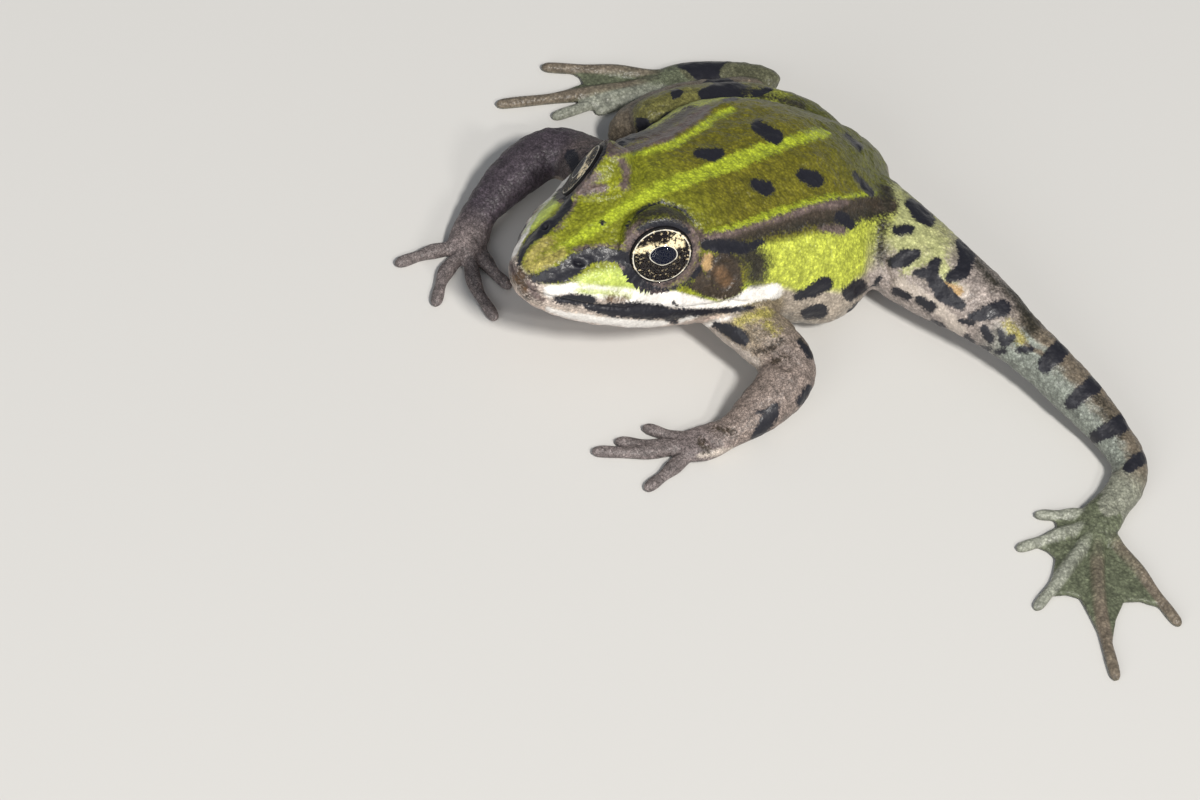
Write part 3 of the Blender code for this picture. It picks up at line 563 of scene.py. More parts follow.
# the far arm: the grey-brown of the near arm darkened with painted shade
FAR_ARM_IN_PAINTED_SHADE = (0.062, 0.048, 0.060)
THIGH_CREAM = (0.355, 0.300, 0.270)
THIGH_LIME = (0.400, 0.400, 0.180)
SHANK_TAN = (0.170, 0.138, 0.100)
SHANK_PALE = (0.225, 0.245, 0.210)
FOOT_PALE = (0.250, 0.255, 0.200)
TOE_PALE = (0.320, 0.330, 0.270)
TOE_BROWN = (0.190, 0.155, 0.115)
WEB_GREEN = (0.130, 0.145, 0.090)
FAR_THIGH = (0.170, 0.160, 0.045)
FAR_FOOT = (0.120, 0.120, 0.070)
EYE_DARK = (0.008, 0.007, 0.008)
IRIS_BROWN = (0.006, 0.004, 0.004)
IRIS_GOLD = (0.560, 0.450, 0.270)
IRIS_BRIGHT = (0.900, 0.760, 0.480)
RING_CREAM = (0.900, 0.850, 0.720)
PUPIL = (0.004, 0.006, 0.016)

# Grain of the skin in millimetres, and its gloss
SPECK_SIZE = 0.13
FINE_SIZE = 0.30
MEDIUM_SIZE = 1.0
GRAIN_SIZE = 0.40
WART_SIZE = 0.95
BUMP_STRENGTH = 0.75
BUMP_DEPTH = 0.12
WET_ROUGHNESS = (0.30, 0.50)
LIMB_ROUGHNESS = 0.62
SKIN_SPECULAR = 0.38
COAT = 0.22
COAT_ROUGHNESS = 0.18
COAT_IOR = 1.36

# Studio: lamps as disks that face the frog, with place and size in metres and power in watts
Lamp = namedtuple("Lamp", "name place size power colour")
LAMPS = [
    Lamp("key", (0.82, -0.29, 1.28), 0.26, 21.5, (1.0, 0.97, 0.92)),
    Lamp("glint", (1.06, -0.19, 1.06), 0.11, 4.0, (1.0, 0.97, 0.92)),
    Lamp("fill", (0.55, -1.43, 0.66), 1.0, 10.6, (1.0, 1.0, 1.0)),
]
FLOOR_GREY = (0.62, 0.61, 0.59)
FLOOR_ROUGHNESS = 0.8
FLOOR_HALF = 2.0
SKY = (0.80, 0.86, 0.95)
SKY_STRENGTH = 0.24
CAMERA_CLIP = 0.01


def smooth_rows(rows, per_gap):
    """Rows read from a smooth curve through the given rows, with per_gap steps between two."""
    rows = np.array(rows, float)
    padded = np.vstack([2 * rows[0] - rows[1], rows, 2 * rows[-1] - rows[-2]])
    out = []
    for i in range(len(rows) - 1):
        p0, p1, p2, p3 = padded[i:i + 4]
        for t in np.arange(per_gap) / per_gap:
            out.append(0.5 * (2 * p1 + (p2 - p0) * t + (2 * p0 - 5 * p1 + 4 * p2 - p3) * t ** 2
                              + (3 * p1 - p0 - 3 * p2 + p3) * t ** 3))
    out.append(rows[-1])
    return np.array(out)


def add_object(name, data):
    obj = bpy.data.objects.new(name, data)
    bpy.context.scene.collection.objects.link(obj)
    return obj


def object_from(bm, name):
    """A new object from a bmesh, which is freed."""
    mesh = bpy.data.meshes.new(name)
    bm.to_mesh(mesh)
    bm.free()
    return add_object(name, mesh)


def mesh_object(name, verts, faces):
    mesh = bpy.data.meshes.new(name)
    mesh.from_pydata([tuple(v) for v in verts], [], [tuple(f) for f in faces])
    bm = bmesh.new()
    bm.from_mesh(mesh)
    bmesh.ops.recalc_face_normals(bm, faces=bm.faces)
    bm.to_mesh(mesh)
    bm.free()
    return add_object(name, mesh)


def loft(name, rings):
    """A closed surface over rings of equal point counts."""
    count = len(rings[0])
    verts = [p for ring in rings for p in ring]
    faces = []
    for r in range(len(rings) - 1):
        low, high = r * count, (r + 1) * count
        for k in range(count):
            after = (k + 1) % count
            faces.append((low + k, low + after, high + after, high + k))
    faces.append(range(count))
    faces.append(range((len(rings) - 1) * count, len(rings) * count))
    return mesh_object(name, verts, faces)


def body_ring(row):
    """One upright section of the trunk: a rounded square above and below its widest line."""
    y, half_width, widest, top, bottom, square_top, square_bottom = row
    ring = []
    for angle in np.linspace(0, 2 * math.pi, BODY_SIDES, endpoint=False):
        c, s = math.cos(angle), math.sin(angle)
        square = square_top if s >= 0 else square_bottom
        height = top - widest if s >= 0 else widest - bottom
        x = half_width * math.copysign(abs(c) ** (2 / square), c)
        z = widest + height * math.copysign(abs(s) ** (2 / square), s)
        ring.append((x, y, z))
    return ring


def tube(name, rows, sides):
    """A tube through rows of x, y, z, half width and half height, with its width kept level."""
    rows = np.array(rows)
    ways = np.gradient(rows[:, :3], axis=0)
    rings = []
    for row, way in zip(rows, ways):
        along = Vector(way).normalized()
        side = along.cross(Vector((0, 0, 1))).normalized()
        rise = side.cross(along)
        middle = Vector(row[:3])
        ring = []
        for angle in np.linspace(0, 2 * math.pi, sides, endpoint=False):
            ring.append(middle + side * (row[3] * math.cos(angle)) + rise * (row[4] * math.sin(angle)))
        rings.append(ring)
    return loft(name, rings)


def limb(name, joints):
    return tube(name, smooth_rows(joints, LIMB_RINGS), LIMB_SIDES)


def lid_ball(side):
    """The closed ball of an eye's lids."""
    bm = bmesh.new()
    place = Matrix.Translation(on_side(EYE, side))
    bmesh.ops.create_uvsphere(bm, u_segments=LID_SIDES, v_segments=LID_RINGS, radius=LID_RADIUS,
                              matrix=place)
    return object_from(bm, "lid")


def digit(name, points, root_radius, tip_radius):
    """A finger or toe on the floor, with swollen joints and a rounded tip."""
    rows = []
    path = smooth_rows(points, DIGIT_STEPS)
    last = len(path) - 1
    for k, (x, y) in enumerate(path):
        reach = k / last
        radius = root_radius + (tip_radius - root_radius) * reach
        swell = KNUCKLE * math.cos(4 * math.pi * (reach - KNUCKLE_PLACE)) * (reach > KNUCKLE_FROM)
        high = radius * DIGIT_FLAT * (1 + KNUCKLE_HIGH * swell)
        rows.append((x, y, high - DIGIT_SUNK, radius * (1 + swell), high))
    way = path[-1] - path[-2]
    way /= np.linalg.norm(way)
    high = tip_radius * DIGIT_FLAT
    for step in END_STEPS:
        size = math.sqrt(1 - step ** 2)
        x, y = path[-1] + way * step * tip_radius * DIGIT_END
        rows.append((x, y, high - DIGIT_SUNK, tip_radius * size, high * size))
    return tube(name, rows, DIGIT_SIDES)


def web(name, toes):
    """A flat web with hollow edges between the toes."""
    outline = [np.array(toes[0][0])]
    for k, toe in enumerate(toes):
        outline.append(toe_point(toe, WEB_REACH))
        if k + 1 < len(toes):
            for share in WEB_EDGE:
                reach = WEB_REACH - (WEB_REACH - WEB_DIP) * math.sin(math.pi * share)
                here, beyond = toe_point(toe, reach), toe_point(toes[k + 1], reach)
                outline.append(here * (1 - share) + beyond * share)
    outline.append(np.array(toes[-1][0]))
    hub = np.mean([toe[0] for toe in toes], axis=0)
    count = len(outline)
    verts = [(*p, WEB_LOW) for p in outline] + [(*p, WEB_HIGH) for p in outline]
    verts += [(*hub, WEB_LOW), (*hub, WEB_HIGH)]
    faces = []
    for k in range(count - 1):
        faces.append((k, k + 1, count + k + 1, count + k))
        faces.append((k, k + 1, 2 * count))
        faces.append((count + k, count + k + 1, 2 * count + 1))
    faces.append((0, 2 * count, 2 * count + 1, count))
    faces.append((count - 1, 2 * count, 2 * count + 1, 2 * count - 1))
    return mesh_object(name, verts, faces)


def toe_point(toe, reach):
    """A point on a toe's middle line."""
    path = smooth_rows(toe, DIGIT_STEPS)
    place = reach * (len(path) - 1)
    low = min(int(place), len(path) - 2)
    return path[low] * (1 - place + low) + path[low + 1] * (place - low)


def fuse(objects, voxel, passes):
    """Several closed shells as one skin."""
    bm = bmesh.new()
    for obj in objects:
        bm.from_mesh(obj.data)
        bpy.data.objects.remove(obj, do_unlink=True)
    skin = object_from(bm, "skin")
    remesh = skin.modifiers.new("fuse", "REMESH")
    remesh.mode = "VOXEL"
    remesh.voxel_size = voxel
    soften = skin.modifiers.new("soften", "SMOOTH")
    soften.factor = SMOOTH_FACTOR
    soften.iterations = passes
    graph = bpy.context.evaluated_depsgraph_get()
    baked = bpy.data.meshes.new_from_object(skin.evaluated_get(graph))
    skin.modifiers.clear()
    skin.data = baked
    return skin


def make_flesh():
    trunk = loft("trunk", [body_ring(row) for row in smooth_rows(BODY, BODY_STEPS)])
    whole = fuse([trunk, limb("arm_l", LEFT_ARM), limb("arm_r", RIGHT_ARM), limb("leg_l", LEFT_LEG)],
                 SOFT_VOXEL, SOFT_PASSES)
    shells = [whole, limb("thigh", RIGHT_THIGH), limb("shank", RIGHT_SHANK), limb("foot", RIGHT_FOOT)]
    for fingers in (LEFT_FINGERS, RIGHT_FINGERS):
        shells += [digit("finger", points, FINGER_ROOT, FINGER_TIP) for points in fingers]
    for toes in (LEFT_TOES, RIGHT_TOES):
        shells += [digit("toe", points, TOE_ROOT, TOE_TIP) for points in toes]
        shells.append(web("web", toes))
    for side in (1, -1):
        shells.append(lid_ball(side))
    return fuse(shells, FINE_VOXEL, FINE_PASSES)


def lattice_noise(points, size, seed):
    """Smooth random values from 0 to 1, one blob for about each size in millimetres."""
    q = points / size + seed * SEED_SHIFT
    cell = np.floor(q).astype(np.int64)
    f = q - cell
    f = f * f * (3 - 2 * f)
    total = np.zeros(len(points))
    for corner in range(8):
        step = np.array([(corner >> k) & 1 for k in range(3)])
        mixed = ((cell + step) @ np.array(CELL_PRIMES) + seed * SEED_PRIME) & LOW_BITS
        mixed = ((mixed ^ (mixed >> 13)) * MIX_PRIME) & LOW_BITS
        value = ((mixed ^ (mixed >> 16)) & 0xFFFF) / 0xFFFF
        total += value * np.prod(np.where(step, f, 1 - f), axis=1)
    return total


def on_side(point, side):
    """A place or way of the left side, or its mirror image where side is -1."""
    return (point[0] * side, point[1], point[2])


def smoothstep(low, high, x):
    t = np.clip((x - low) / (high - low), 0, 1)
    return t * t * (3 - 2 * t)


def hump(distance, form):
    """A rounded rise, or groove, over the distance from its middle."""
    return form.height * np.exp(-(distance / form.width) ** 2)


def lumps(points, kind):
    return lattice_noise(points * np.array(kind.squeeze), kind.size, kind.seed)


def rough(points, kind):
    return kind.height * (lumps(points, kind) - 0.5)


def line_distance(points, line, widths=0.0):
    """Distance from each point to a line of points, less a half width that can vary along it."""
    line = np.array(line, float)
    widths = np.broadcast_to(np.array(widths, float), len(line))
    out = np.full(len(points), FAR)
    low = line.min(axis=0) - FAR
    high = line.max(axis=0) + FAR
    near = np.where(np.all((points > low) & (points < high), axis=1))[0]
    p = points[near]
    best = np.full(len(near), FAR)
    for a, b, wa, wb in zip(line[:-1], line[1:], widths[:-1], widths[1:]):
        way = b - a
        t = np.clip((p - a) @ way / max(way @ way, TINY), 0, 1)
        d = np.linalg.norm(p - a - t[:, None] * way, axis=1) - (wa + (wb - wa) * t)
        best = np.minimum(best, d)
    out[near] = best
    return out


def both_sides(points, line):
    return np.minimum(line_distance(points, line), line_distance(points * ACROSS, line))


def camera_axes():
    """Right, down and look ways of the photograph's camera."""
    a, e, r = (math.radians(v) for v in (AZIMUTH, ELEVATION, ROLL))
    look = Vector((-math.sin(a) * math.cos(e), math.cos(a) * math.cos(e), -math.sin(e)))
    right = Vector((math.cos(a), math.sin(a), 0))
    down = look.cross(right)
    return right * math.cos(r) + down * math.sin(r), -right * math.sin(r) + down * math.cos(r), look


def camera_place():
    """Where the camera stands, so that the point it was fitted about falls on its pixel."""
    right, down, look = camera_axes()
    across = (PHOTO_SIZE[0] / 2 - MIDDLE_PIXEL[0]) / PIXELS_PER_MM
    along = (PHOTO_SIZE[1] / 2 - MIDDLE_PIXEL[1]) / PIXELS_PER_MM
    return MIDDLE + right * across + down * along - look * DISTANCE


class PhotoPencil:
    """Finds the skin on the left of the model that places in the photograph show."""

    def __init__(self, verts, faces):
        self.tree = BVHTree.FromPolygons([Vector(v) for v in verts], faces)
        self.eye = camera_place()
        self.axes = camera_axes()

    def spot(self, px, py):
        right, down, look = self.axes
        way = (look * DISTANCE + right * ((px - PHOTO_SIZE[0] / 2) / PIXELS_PER_MM)
               + down * ((py - PHOTO_SIZE[1] / 2) / PIXELS_PER_MM)).normalized()
        hit = self.tree.ray_cast(self.eye, way)[0]
        if hit is None:
            hit = self.tree.find_nearest(self.eye + way * DISTANCE)[0]
        return tuple(hit)

    def line(self, places):
        return [self.spot(px, py) for px, py in places]

    def pixels(self, points):
        """Where points of the model lie in the photograph."""
        right, down, look = (np.array(axis) for axis in self.axes)
        off = points - np.array(self.eye)
        scale = PIXELS_PER_MM * DISTANCE / (off @ look)
        flat = np.stack([off @ right, off @ down], axis=1)
        return np.array(PHOTO_SIZE) / 2 + flat * scale[:, None]

    def distance(self, points, strings):
        """Millimetres in the picture's plane from each point to the nearest string's edge."""
        field = np.full(len(points), FAR)
        pixels = self.pixels(points)
        for string in strings:
            places = np.array(string)[:, :2]
            half = np.array(string)[:, 2] / PIXELS_PER_MM
            close = line_distance(points, self.line(places), half * STEEPEST) < EDGE_REACH
            flat = line_distance(pixels[close] / PIXELS_PER_MM, places / PIXELS_PER_MM, half)
            field[close] = np.minimum(field[close], flat)
        return field


def skin_arrays(skin):
    mesh = skin.data
    verts = np.empty(len(mesh.vertices) * 3)
    mesh.vertices.foreach_get("co", verts)
    normals = np.empty(len(mesh.vertices) * 3, np.float32)
    mesh.vertices.foreach_get("normal", normals)
    return verts.reshape(-1, 3), normals.reshape(-1, 3).astype(float)


def set_verts(skin, verts):
    skin.data.vertices.foreach_set("co", verts.astype(np.float32).ravel())
    skin.data.update()


def eye_polar(points, side):
    """Offsets and distances from an eye's centre, and angles from the way that it looks, in degrees."""
    way = np.array(on_side(IRIS_WAY, side))
    way /= np.linalg.norm(way)
    off = points - np.array(on_side(EYE, side))
    radius = np.linalg.norm(off, axis=1)
    ahead = np.clip(off @ way / np.maximum(radius, TINY), -1, 1)
    return off, radius, np.degrees(np.arccos(ahead))


def open_lids(verts):
    """Draws the skin in front of each eye back behind the iris, with a rounded lid margin."""
    out = verts.copy()
    for side in (1, -1):
        off, radius, angle = eye_polar(out, side)
        wanted = LID_INSIDE + (LID_MARGIN - LID_INSIDE) * smoothstep(*LID_BEVEL, angle)
        wanted += LID_FREE * smoothstep(*LID_CLEAR, angle)
        pull = np.minimum(wanted - radius, 0) * smoothstep(*LID_REACH, radius)
        out += off * (pull / np.maximum(radius, TINY))[:, None]
    return out


def mouth_height(y):
    line = np.array(MOUTH)
    return np.interp(y, line[:, 0], line[:, 1])


def shape_details(verts, normals, pencil):
    """Folds, grooves, swellings and granules, as a shift of each vertex along its normal."""
    x, y, z = verts.T
    shift = np.zeros(len(verts))
    on_head = smoothstep(*HEAD_Y, y) * (np.abs(x) < 14)

    above_mouth = z - mouth_height(y)
    mouth_side = on_head * smoothstep(1.2, 2.0, np.hypot(x, y + 30))
    shift += hump(above_mouth, MOUTH_GROOVE) * mouth_side
    shift += hump(above_mouth - LIP_RAISED, LIP_SWELL) * mouth_side

    for crease in CREASES:
        shift += hump(both_sides(verts, pencil.line(crease.places)), crease)
    for crease in FOLD_CREASES:
        shift += hump(line_distance(verts, pencil.line(crease.places)), crease)

    far_end = (NOSTRIL[0] + NOSTRIL_LONG[0], NOSTRIL[1] + NOSTRIL_LONG[1], NOSTRIL[2])
    nostril = both_sides(verts, [NOSTRIL, far_end])
    shift += hump(nostril, NOSTRIL_RIM) + hump(nostril, NOSTRIL_PIT)

    drum = np.hypot(y - DRUM[0], z - DRUM[1])
    drum_form = hump(drum - DRUM_RADIUS, DRUM_RING) + hump(drum, DRUM_MIDDLE)
    drum_form -= DRUM_SUNK * smoothstep(DRUM_RADIUS, DRUM_RADIUS - DRUM_EDGE, drum)
    shift += (np.abs(x) > 7) * (drum < 2 * DRUM_RADIUS) * drum_form

    shift += hump(both_sides(verts, HIP_LINE), HIP_RIDGE)
    shift += hump(line_distance(verts, SPINE_LINE), SPINE_GROOVE)

    on_trunk = smoothstep(*TRUNK_FRONT, y) * smoothstep(*TRUNK_REAR, y) * (np.abs(x) < 17)
    low_flank = smoothstep(12, 7, z) * smoothstep(1.0, 3.0, z)
    shift += rough(verts, FLANK_LUMPS) * on_trunk * low_flank
    top = on_trunk * smoothstep(0.2, 0.6, normals[:, 2])
    ripple = 1 - np.abs(2 * lumps(verts, BACK_RIPPLE) - 1)
    shift += BACK_RIPPLE.height * (ripple - 0.7) * top
    for grain in (COARSE_GRAIN, FINE_GRAIN):
        shift += rough(verts, grain) * smoothstep(*GRAIN_Z, z)
    return verts + normals * shift[:, None]


def limb_share(points, joints, swell=NEAR_SWELL):
    """How much a point belongs to a limb, and how far along the limb it lies."""
    rows = smooth_rows(joints, LIMB_STEPS)
    best = np.full(len(points), LIMB_FAR)
    along = np.zeros(len(points))
    for k, row in enumerate(rows):
        size = 0.5 * (row[3] + row[4])
        d = np.linalg.norm(points - row[:3], axis=1) / size
        closer = d < best
        best[closer] = d[closer]
        along[closer] = k / (len(rows) - 1)
    return smoothstep(swell + LIMB_FADE, swell, best), along


def blend(colours, colour, share):
    """Colours mixed with one colour, or with another set of as many."""
    share = np.clip(share, 0, 1)[:, None]
    return colours * (1 - share) + np.array(colour) * share


def flat_colour(colour, count):
    return np.tile(np.array(colour), (count, 1))


def trunk_colours(verts, normals):
    """Olive back, lime flank, cream side, and a pale belly darkened with painted shade where the skin
    faces down.
    """
    x, y, z = verts.T
    colours = flat_colour(OLIVE, len(verts))
    colours = blend(colours, HEAD_GREEN, smoothstep(*HEAD_GREEN_Y, y))
    colours = blend(colours, REAR_OLIVE, smoothstep(*REAR_OLIVE_Y, y))

    fold = smooth_rows(BACK_FOLD, CURVE_STEPS)
    fold_x = np.interp(y, fold[:, 1], fold[:, 0])
    fold_z = np.interp(y, fold[:, 1], fold[:, 2])
    body = smooth_rows(BODY, CURVE_STEPS)
    middle = np.interp(y, body[:, 0], body[:, 2])
    fold_angle = np.arctan2(fold_z - middle, fold_x)
    drop = (fold_angle - np.arctan2(z - middle, np.abs(x))) * FLANK_RADIUS
    flank = smoothstep(*FLANK_DROP, drop) * smoothstep(*FLANK_FRONT, y) * smoothstep(*FLANK_REAR, y)
    colours = blend(colours, FLANK_LIME, flank)
    side_line = np.interp(y, SIDE_LINE_Y, SIDE_LINE_Z) + rough(verts, SIDE_ROUGH)
    low = smoothstep(side_line + 0.7, side_line - 0.5, z) * smoothstep(*SIDE_FRONT, y)
    colours = blend(colours, CREAM, low)
    # painted shade: the darkened belly colour where the skin faces down
    colours = blend(colours, PALE_BELLY_IN_PAINTED_SHADE, smoothstep(*UNDERSIDE, normals[:, 2]))
    above_mouth = z - mouth_height(y)
    lips = smoothstep(*LIP_TOP, above_mouth) * smoothstep(*LIP_FOOT, above_mouth)
    colours = blend(colours, LIP_CREAM, lips * smoothstep(*LIP_Y, y))
    return blend(colours, THROAT, smoothstep(*THROAT_DROP, above_mouth) * smoothstep(*THROAT_Y, y))


def lid_field(verts):
    """Millimetres along the skin from the edge of the nearest lid."""
    field = np.full(len(verts), FAR)
    for side in (1, -1):
        radius, angle = eye_polar(verts, side)[1:]
        spread = np.radians(angle - LID_ANGLE) * LID_RADIUS
        field = np.minimum(field, np.where(radius < LID_SKIN, spread, FAR))
    return field


def arm_colours(verts, normals, skin_colour, along, yellow):
    blotches = ARM_EVEN + ARM_BLOTCHES.height * lumps(verts, ARM_BLOTCHES)
    colours = flat_colour(skin_colour, len(verts))
    colours = blend(colours, ARM_YELLOW, yellow * smoothstep(*YELLOW_ALONG, along) * blotches)
    colours = blend(colours, HAND_GREY, smoothstep(*HAND_ALONG, along))
    return blend(colours, CREAM, 0.9 * smoothstep(*ARM_UNDERSIDE, normals[:, 2]))


def leg_colours(verts, normals):
    """Left leg: lime above and pinkish cream below on the thigh, tan with a pale inside on the shank."""
    top = normals[:, 2] + 0.35 * normals[:, 1]
    thigh = flat_colour(THIGH_CREAM, len(verts))
    thigh = blend(thigh, THIGH_LIME, smoothstep(*THIGH_TOP, top) * smoothstep(*THIGH_X, verts[:, 0]))
    shank = flat_colour(SHANK_TAN, len(verts))
    shank = blend(shank, SHANK_PALE, smoothstep(*SHANK_INSIDE, normals[:, 1]))
    return blend(thigh, shank, smoothstep(*SHANK_X, verts[:, 0]))


def base_colours(verts, normals):
    """The broad colours of each region, and how salt-and-pepper each is, before the markings."""
    x, y, z = verts.T
    colours = trunk_colours(verts, normals)
    grit = np.full(len(verts), TRUNK_GRIT)

    # the far arm's darker colour is painted shade
    for joints, side, colour, yellow in ((LEFT_ARM, 1, ARM_GREY, 1.0), (RIGHT_ARM, -1, FAR_ARM_IN_PAINTED_SHADE, 0.3)):
        arm, along = limb_share(verts, joints)
        arm *= smoothstep(*ARM_X, side * x)
        colours = blend(colours, arm_colours(verts, normals, colour, along, yellow), arm)
        grit = np.maximum(grit, arm)

    leg, along = limb_share(verts, LEFT_LEG)
    leg *= smoothstep(*LEG_X, x + 0.4 * y)
    colour = blend(leg_colours(verts, normals), FOOT_PALE, smoothstep(*FOOT_ALONG, along))
    colours = blend(colours, colour, leg)
    grit = np.maximum(grit, LEG_GRIT * leg)

    for joints, colour in ((RIGHT_THIGH, FAR_THIGH), (RIGHT_SHANK, SHANK_TAN), (RIGHT_FOOT, FAR_FOOT)):
        leg = limb_share(verts, joints, FAR_SWELL)[0] * smoothstep(*FAR_LEG_X, x)
        colour = blend(flat_colour(colour, len(verts)), CREAM, smoothstep(*LEG_UNDERSIDE, normals[:, 2]))
        colours = blend(colours, colour, leg)
        grit = np.maximum(grit, FAR_LEG_GRIT * leg)

    low = z < DIGIT_TOP
    hand = low & ((y < HAND_Y[0]) | ((y < HAND_Y[1]) & (np.abs(x) > HAND_X)))
    foot = low & ((x < FOOT_X[0]) | (x > FOOT_X[1])) & (y < FOOT_Y)
    colours = blend(colours, HAND_GREY, 1.0 * hand)
    colours = blend(colours, WEB_GREEN, 1.0 * foot)
    return colours, np.maximum(grit, hand)


def toe_fields(verts):
    """Distances to the edges of the nearest finger, inner toe and outer toe."""
    sets = {"fingers": LEFT_FINGERS + RIGHT_FINGERS, "inner_toes": LEFT_TOES[:3] + RIGHT_TOES[:3],
            "outer_toes": LEFT_TOES[3:] + RIGHT_TOES[3:]}
    fields = {}
    for name, digits in sets.items():
        field = np.full(len(verts), FAR)
        for points in digits:
            line = [(*p, TOE_LINE_Z) for p in smooth_rows(points, CURVE_STEPS)]
            field = np.minimum(field, line_distance(verts, line, TOE_COVER))
        fields[name] = field
    return fields


def hidden_marbling(verts, normals):
    """Black marbling for the sides that the photograph doesn't show."""
    x, z = verts[:, 0], verts[:, 2]
    blobs = sum(kind.height * lumps(verts, kind) for kind in MARBLING)
    field = np.full(len(verts), FAR)
    for joints in (RIGHT_THIGH, RIGHT_SHANK, RIGHT_FOOT):
        leg = limb_share(verts, joints, FAR_SWELL)[0] * smoothstep(-10, -12.0, x)
        field = np.where(leg > 0.5, np.minimum(field, (MARBLING_RIGHT - blobs) * MARBLING_SCALE), field)
    leg = limb_share(verts, LEFT_LEG)[0] * smoothstep(14, 16, x)
    look = np.array(camera_axes()[2])
    away = smoothstep(0.0, 0.3, normals @ look) * leg * smoothstep(0.6, 1.2, z)
    marbled = np.minimum(field, (MARBLING_LEFT - blobs) * MARBLING_SCALE)
    return np.where(away > 0.5, marbled, field)


def add_field(mesh, name, values):
    attribute = mesh.attributes.new(name, "FLOAT", "POINT")
    attribute.data.foreach_set("value", values.astype(np.float32))


def paint(skin, pencil):
    """Stores the broad colours and the markings' distance fields on the skin."""
    mesh = skin.data
    verts, normals = skin_arrays(skin)
    colours, grit = base_colours(verts, normals)
    attribute = mesh.attributes.new("base", "FLOAT_COLOR", "POINT")
    opaque = np.hstack([colours, np.ones((len(verts), 1))])
    attribute.data.foreach_set("color", opaque.astype(np.float32).ravel())
    add_field(mesh, "grit", grit)
    for name, field in toe_fields(verts).items():
        add_field(mesh, name, field)

    wobble = sum(rough(verts, kind) for kind in EDGE_ROUGH)
    for layer in LAYERS:
        field = np.full(len(verts), FAR)
        if layer.name in ONE_SIDE:
            field = pencil.distance(verts, ONE_SIDE[layer.name])
        if layer.name in BOTH_SIDES:
            strings = BOTH_SIDES[layer.name]
            field = np.minimum(field, pencil.distance(verts, strings))
            field = np.minimum(field, pencil.distance(verts * ACROSS, strings))
        if layer.name == "mauve":
            field = np.minimum(field, lid_field(verts) - LID_MAUVE)
        if layer.name == "black":
            field = np.minimum(field, hidden_marbling(verts, normals))
            # a thin black margin at each lid's edge: partly its own dark edge, partly painted shadow
            field = np.minimum(field, lid_field(verts) - LID_DARK_AND_SHADOW)
        add_field(mesh, layer.name, field + layer.ragged * wobble)


class Value:
    """The output of a shader node, which can be used in sums."""

    def __init__(self, nodes, socket):
        self.nodes = nodes
        self.socket = socket

    def __add__(self, other):
        return self.nodes.math("ADD", self, other)

    def __sub__(self, other):
        return self.nodes.math("SUBTRACT", self, other)

    def __rsub__(self, other):
        return self.nodes.math("SUBTRACT", other, self)

    def __mul__(self, other):
        return self.nodes.math("MULTIPLY", self, other)

    def __truediv__(self, other):
        return self.nodes.math("DIVIDE", self, other)


class Nodes:
    """Short ways to build a material's node tree."""

    def __init__(self, name):
        self.material = bpy.data.materials.new(name)
        self.material.use_nodes = True
        self.tree = self.material.node_tree

    def surface(self, given):
        """The finished material, with some inputs of its shader given."""
        for key, value in given.items():
            self.put(self.tree.nodes["Principled BSDF"].inputs[key], value)
        return self.material

    def make(self, kind, output, given, **settings):
        """A node with some inputs given, as one of its outputs."""
        node = self.tree.nodes.new(kind)
        for key, value in settings.items():
            setattr(node, key, value)
        for key, value in given.items():
            self.put(node.inputs[key], value)
        return Value(self, node.outputs[output])

    def put(self, socket, value):
        if isinstance(value, Value):
            self.tree.links.new(value.socket, socket)
        elif isinstance(value, tuple):
            socket.default_value = (*value, 1)
        else:
            socket.default_value = value

    def math(self, operation, *values):
        return self.make("ShaderNodeMath", 0, dict(enumerate(values)), operation=operation)

    def ramp(self, value, low, high, to_low, to_high, **settings):
        given = {"Value": value, "From Min": low, "From Max": high, "To Min": to_low, "To Max": to_high}
        return self.make("ShaderNodeMapRange", "Result", given, **settings)

    def step(self, value, low, high):
        return self.ramp(value, low, high, 0.0, 1.0, interpolation_type="SMOOTHSTEP")

    def mix(self, factor, a, b, blend_type="MIX"):
        given = {"Factor": factor, 6: a, 7: b}
        return self.make("ShaderNodeMix", 2, given, data_type="RGBA", blend_type=blend_type)

    def mix_values(self, factor, a, b):
        return self.make("ShaderNodeMix", 0, {"Factor": factor, 2: a, 3: b}, data_type="FLOAT")

    def place(self):
        return self.make("ShaderNodeTexCoord", "Object", {})

    def noise(self, where, size_mm, detail=2.0, roughness=0.5):
        given = {"Vector": where, "Scale": 1 / (size_mm * MM), "Detail": detail, "Roughness": roughness}
        return self.make("ShaderNodeTexNoise", "Fac", given)

    def cells(self, where, size_mm):
        given = {"Vector": where, "Scale": 1 / (size_mm * MM)}
        return self.make("ShaderNodeTexVoronoi", "Distance", given, feature="F1")

    def field(self, name, output="Fac"):
        settings = {"attribute_name": name, "attribute_type": "GEOMETRY"}
        return self.make("ShaderNodeAttribute", output, {}, **settings)

    def grey(self, value):
        return self.make("ShaderNodeCombineColor", 0, {0: value, 1: value, 2: value})


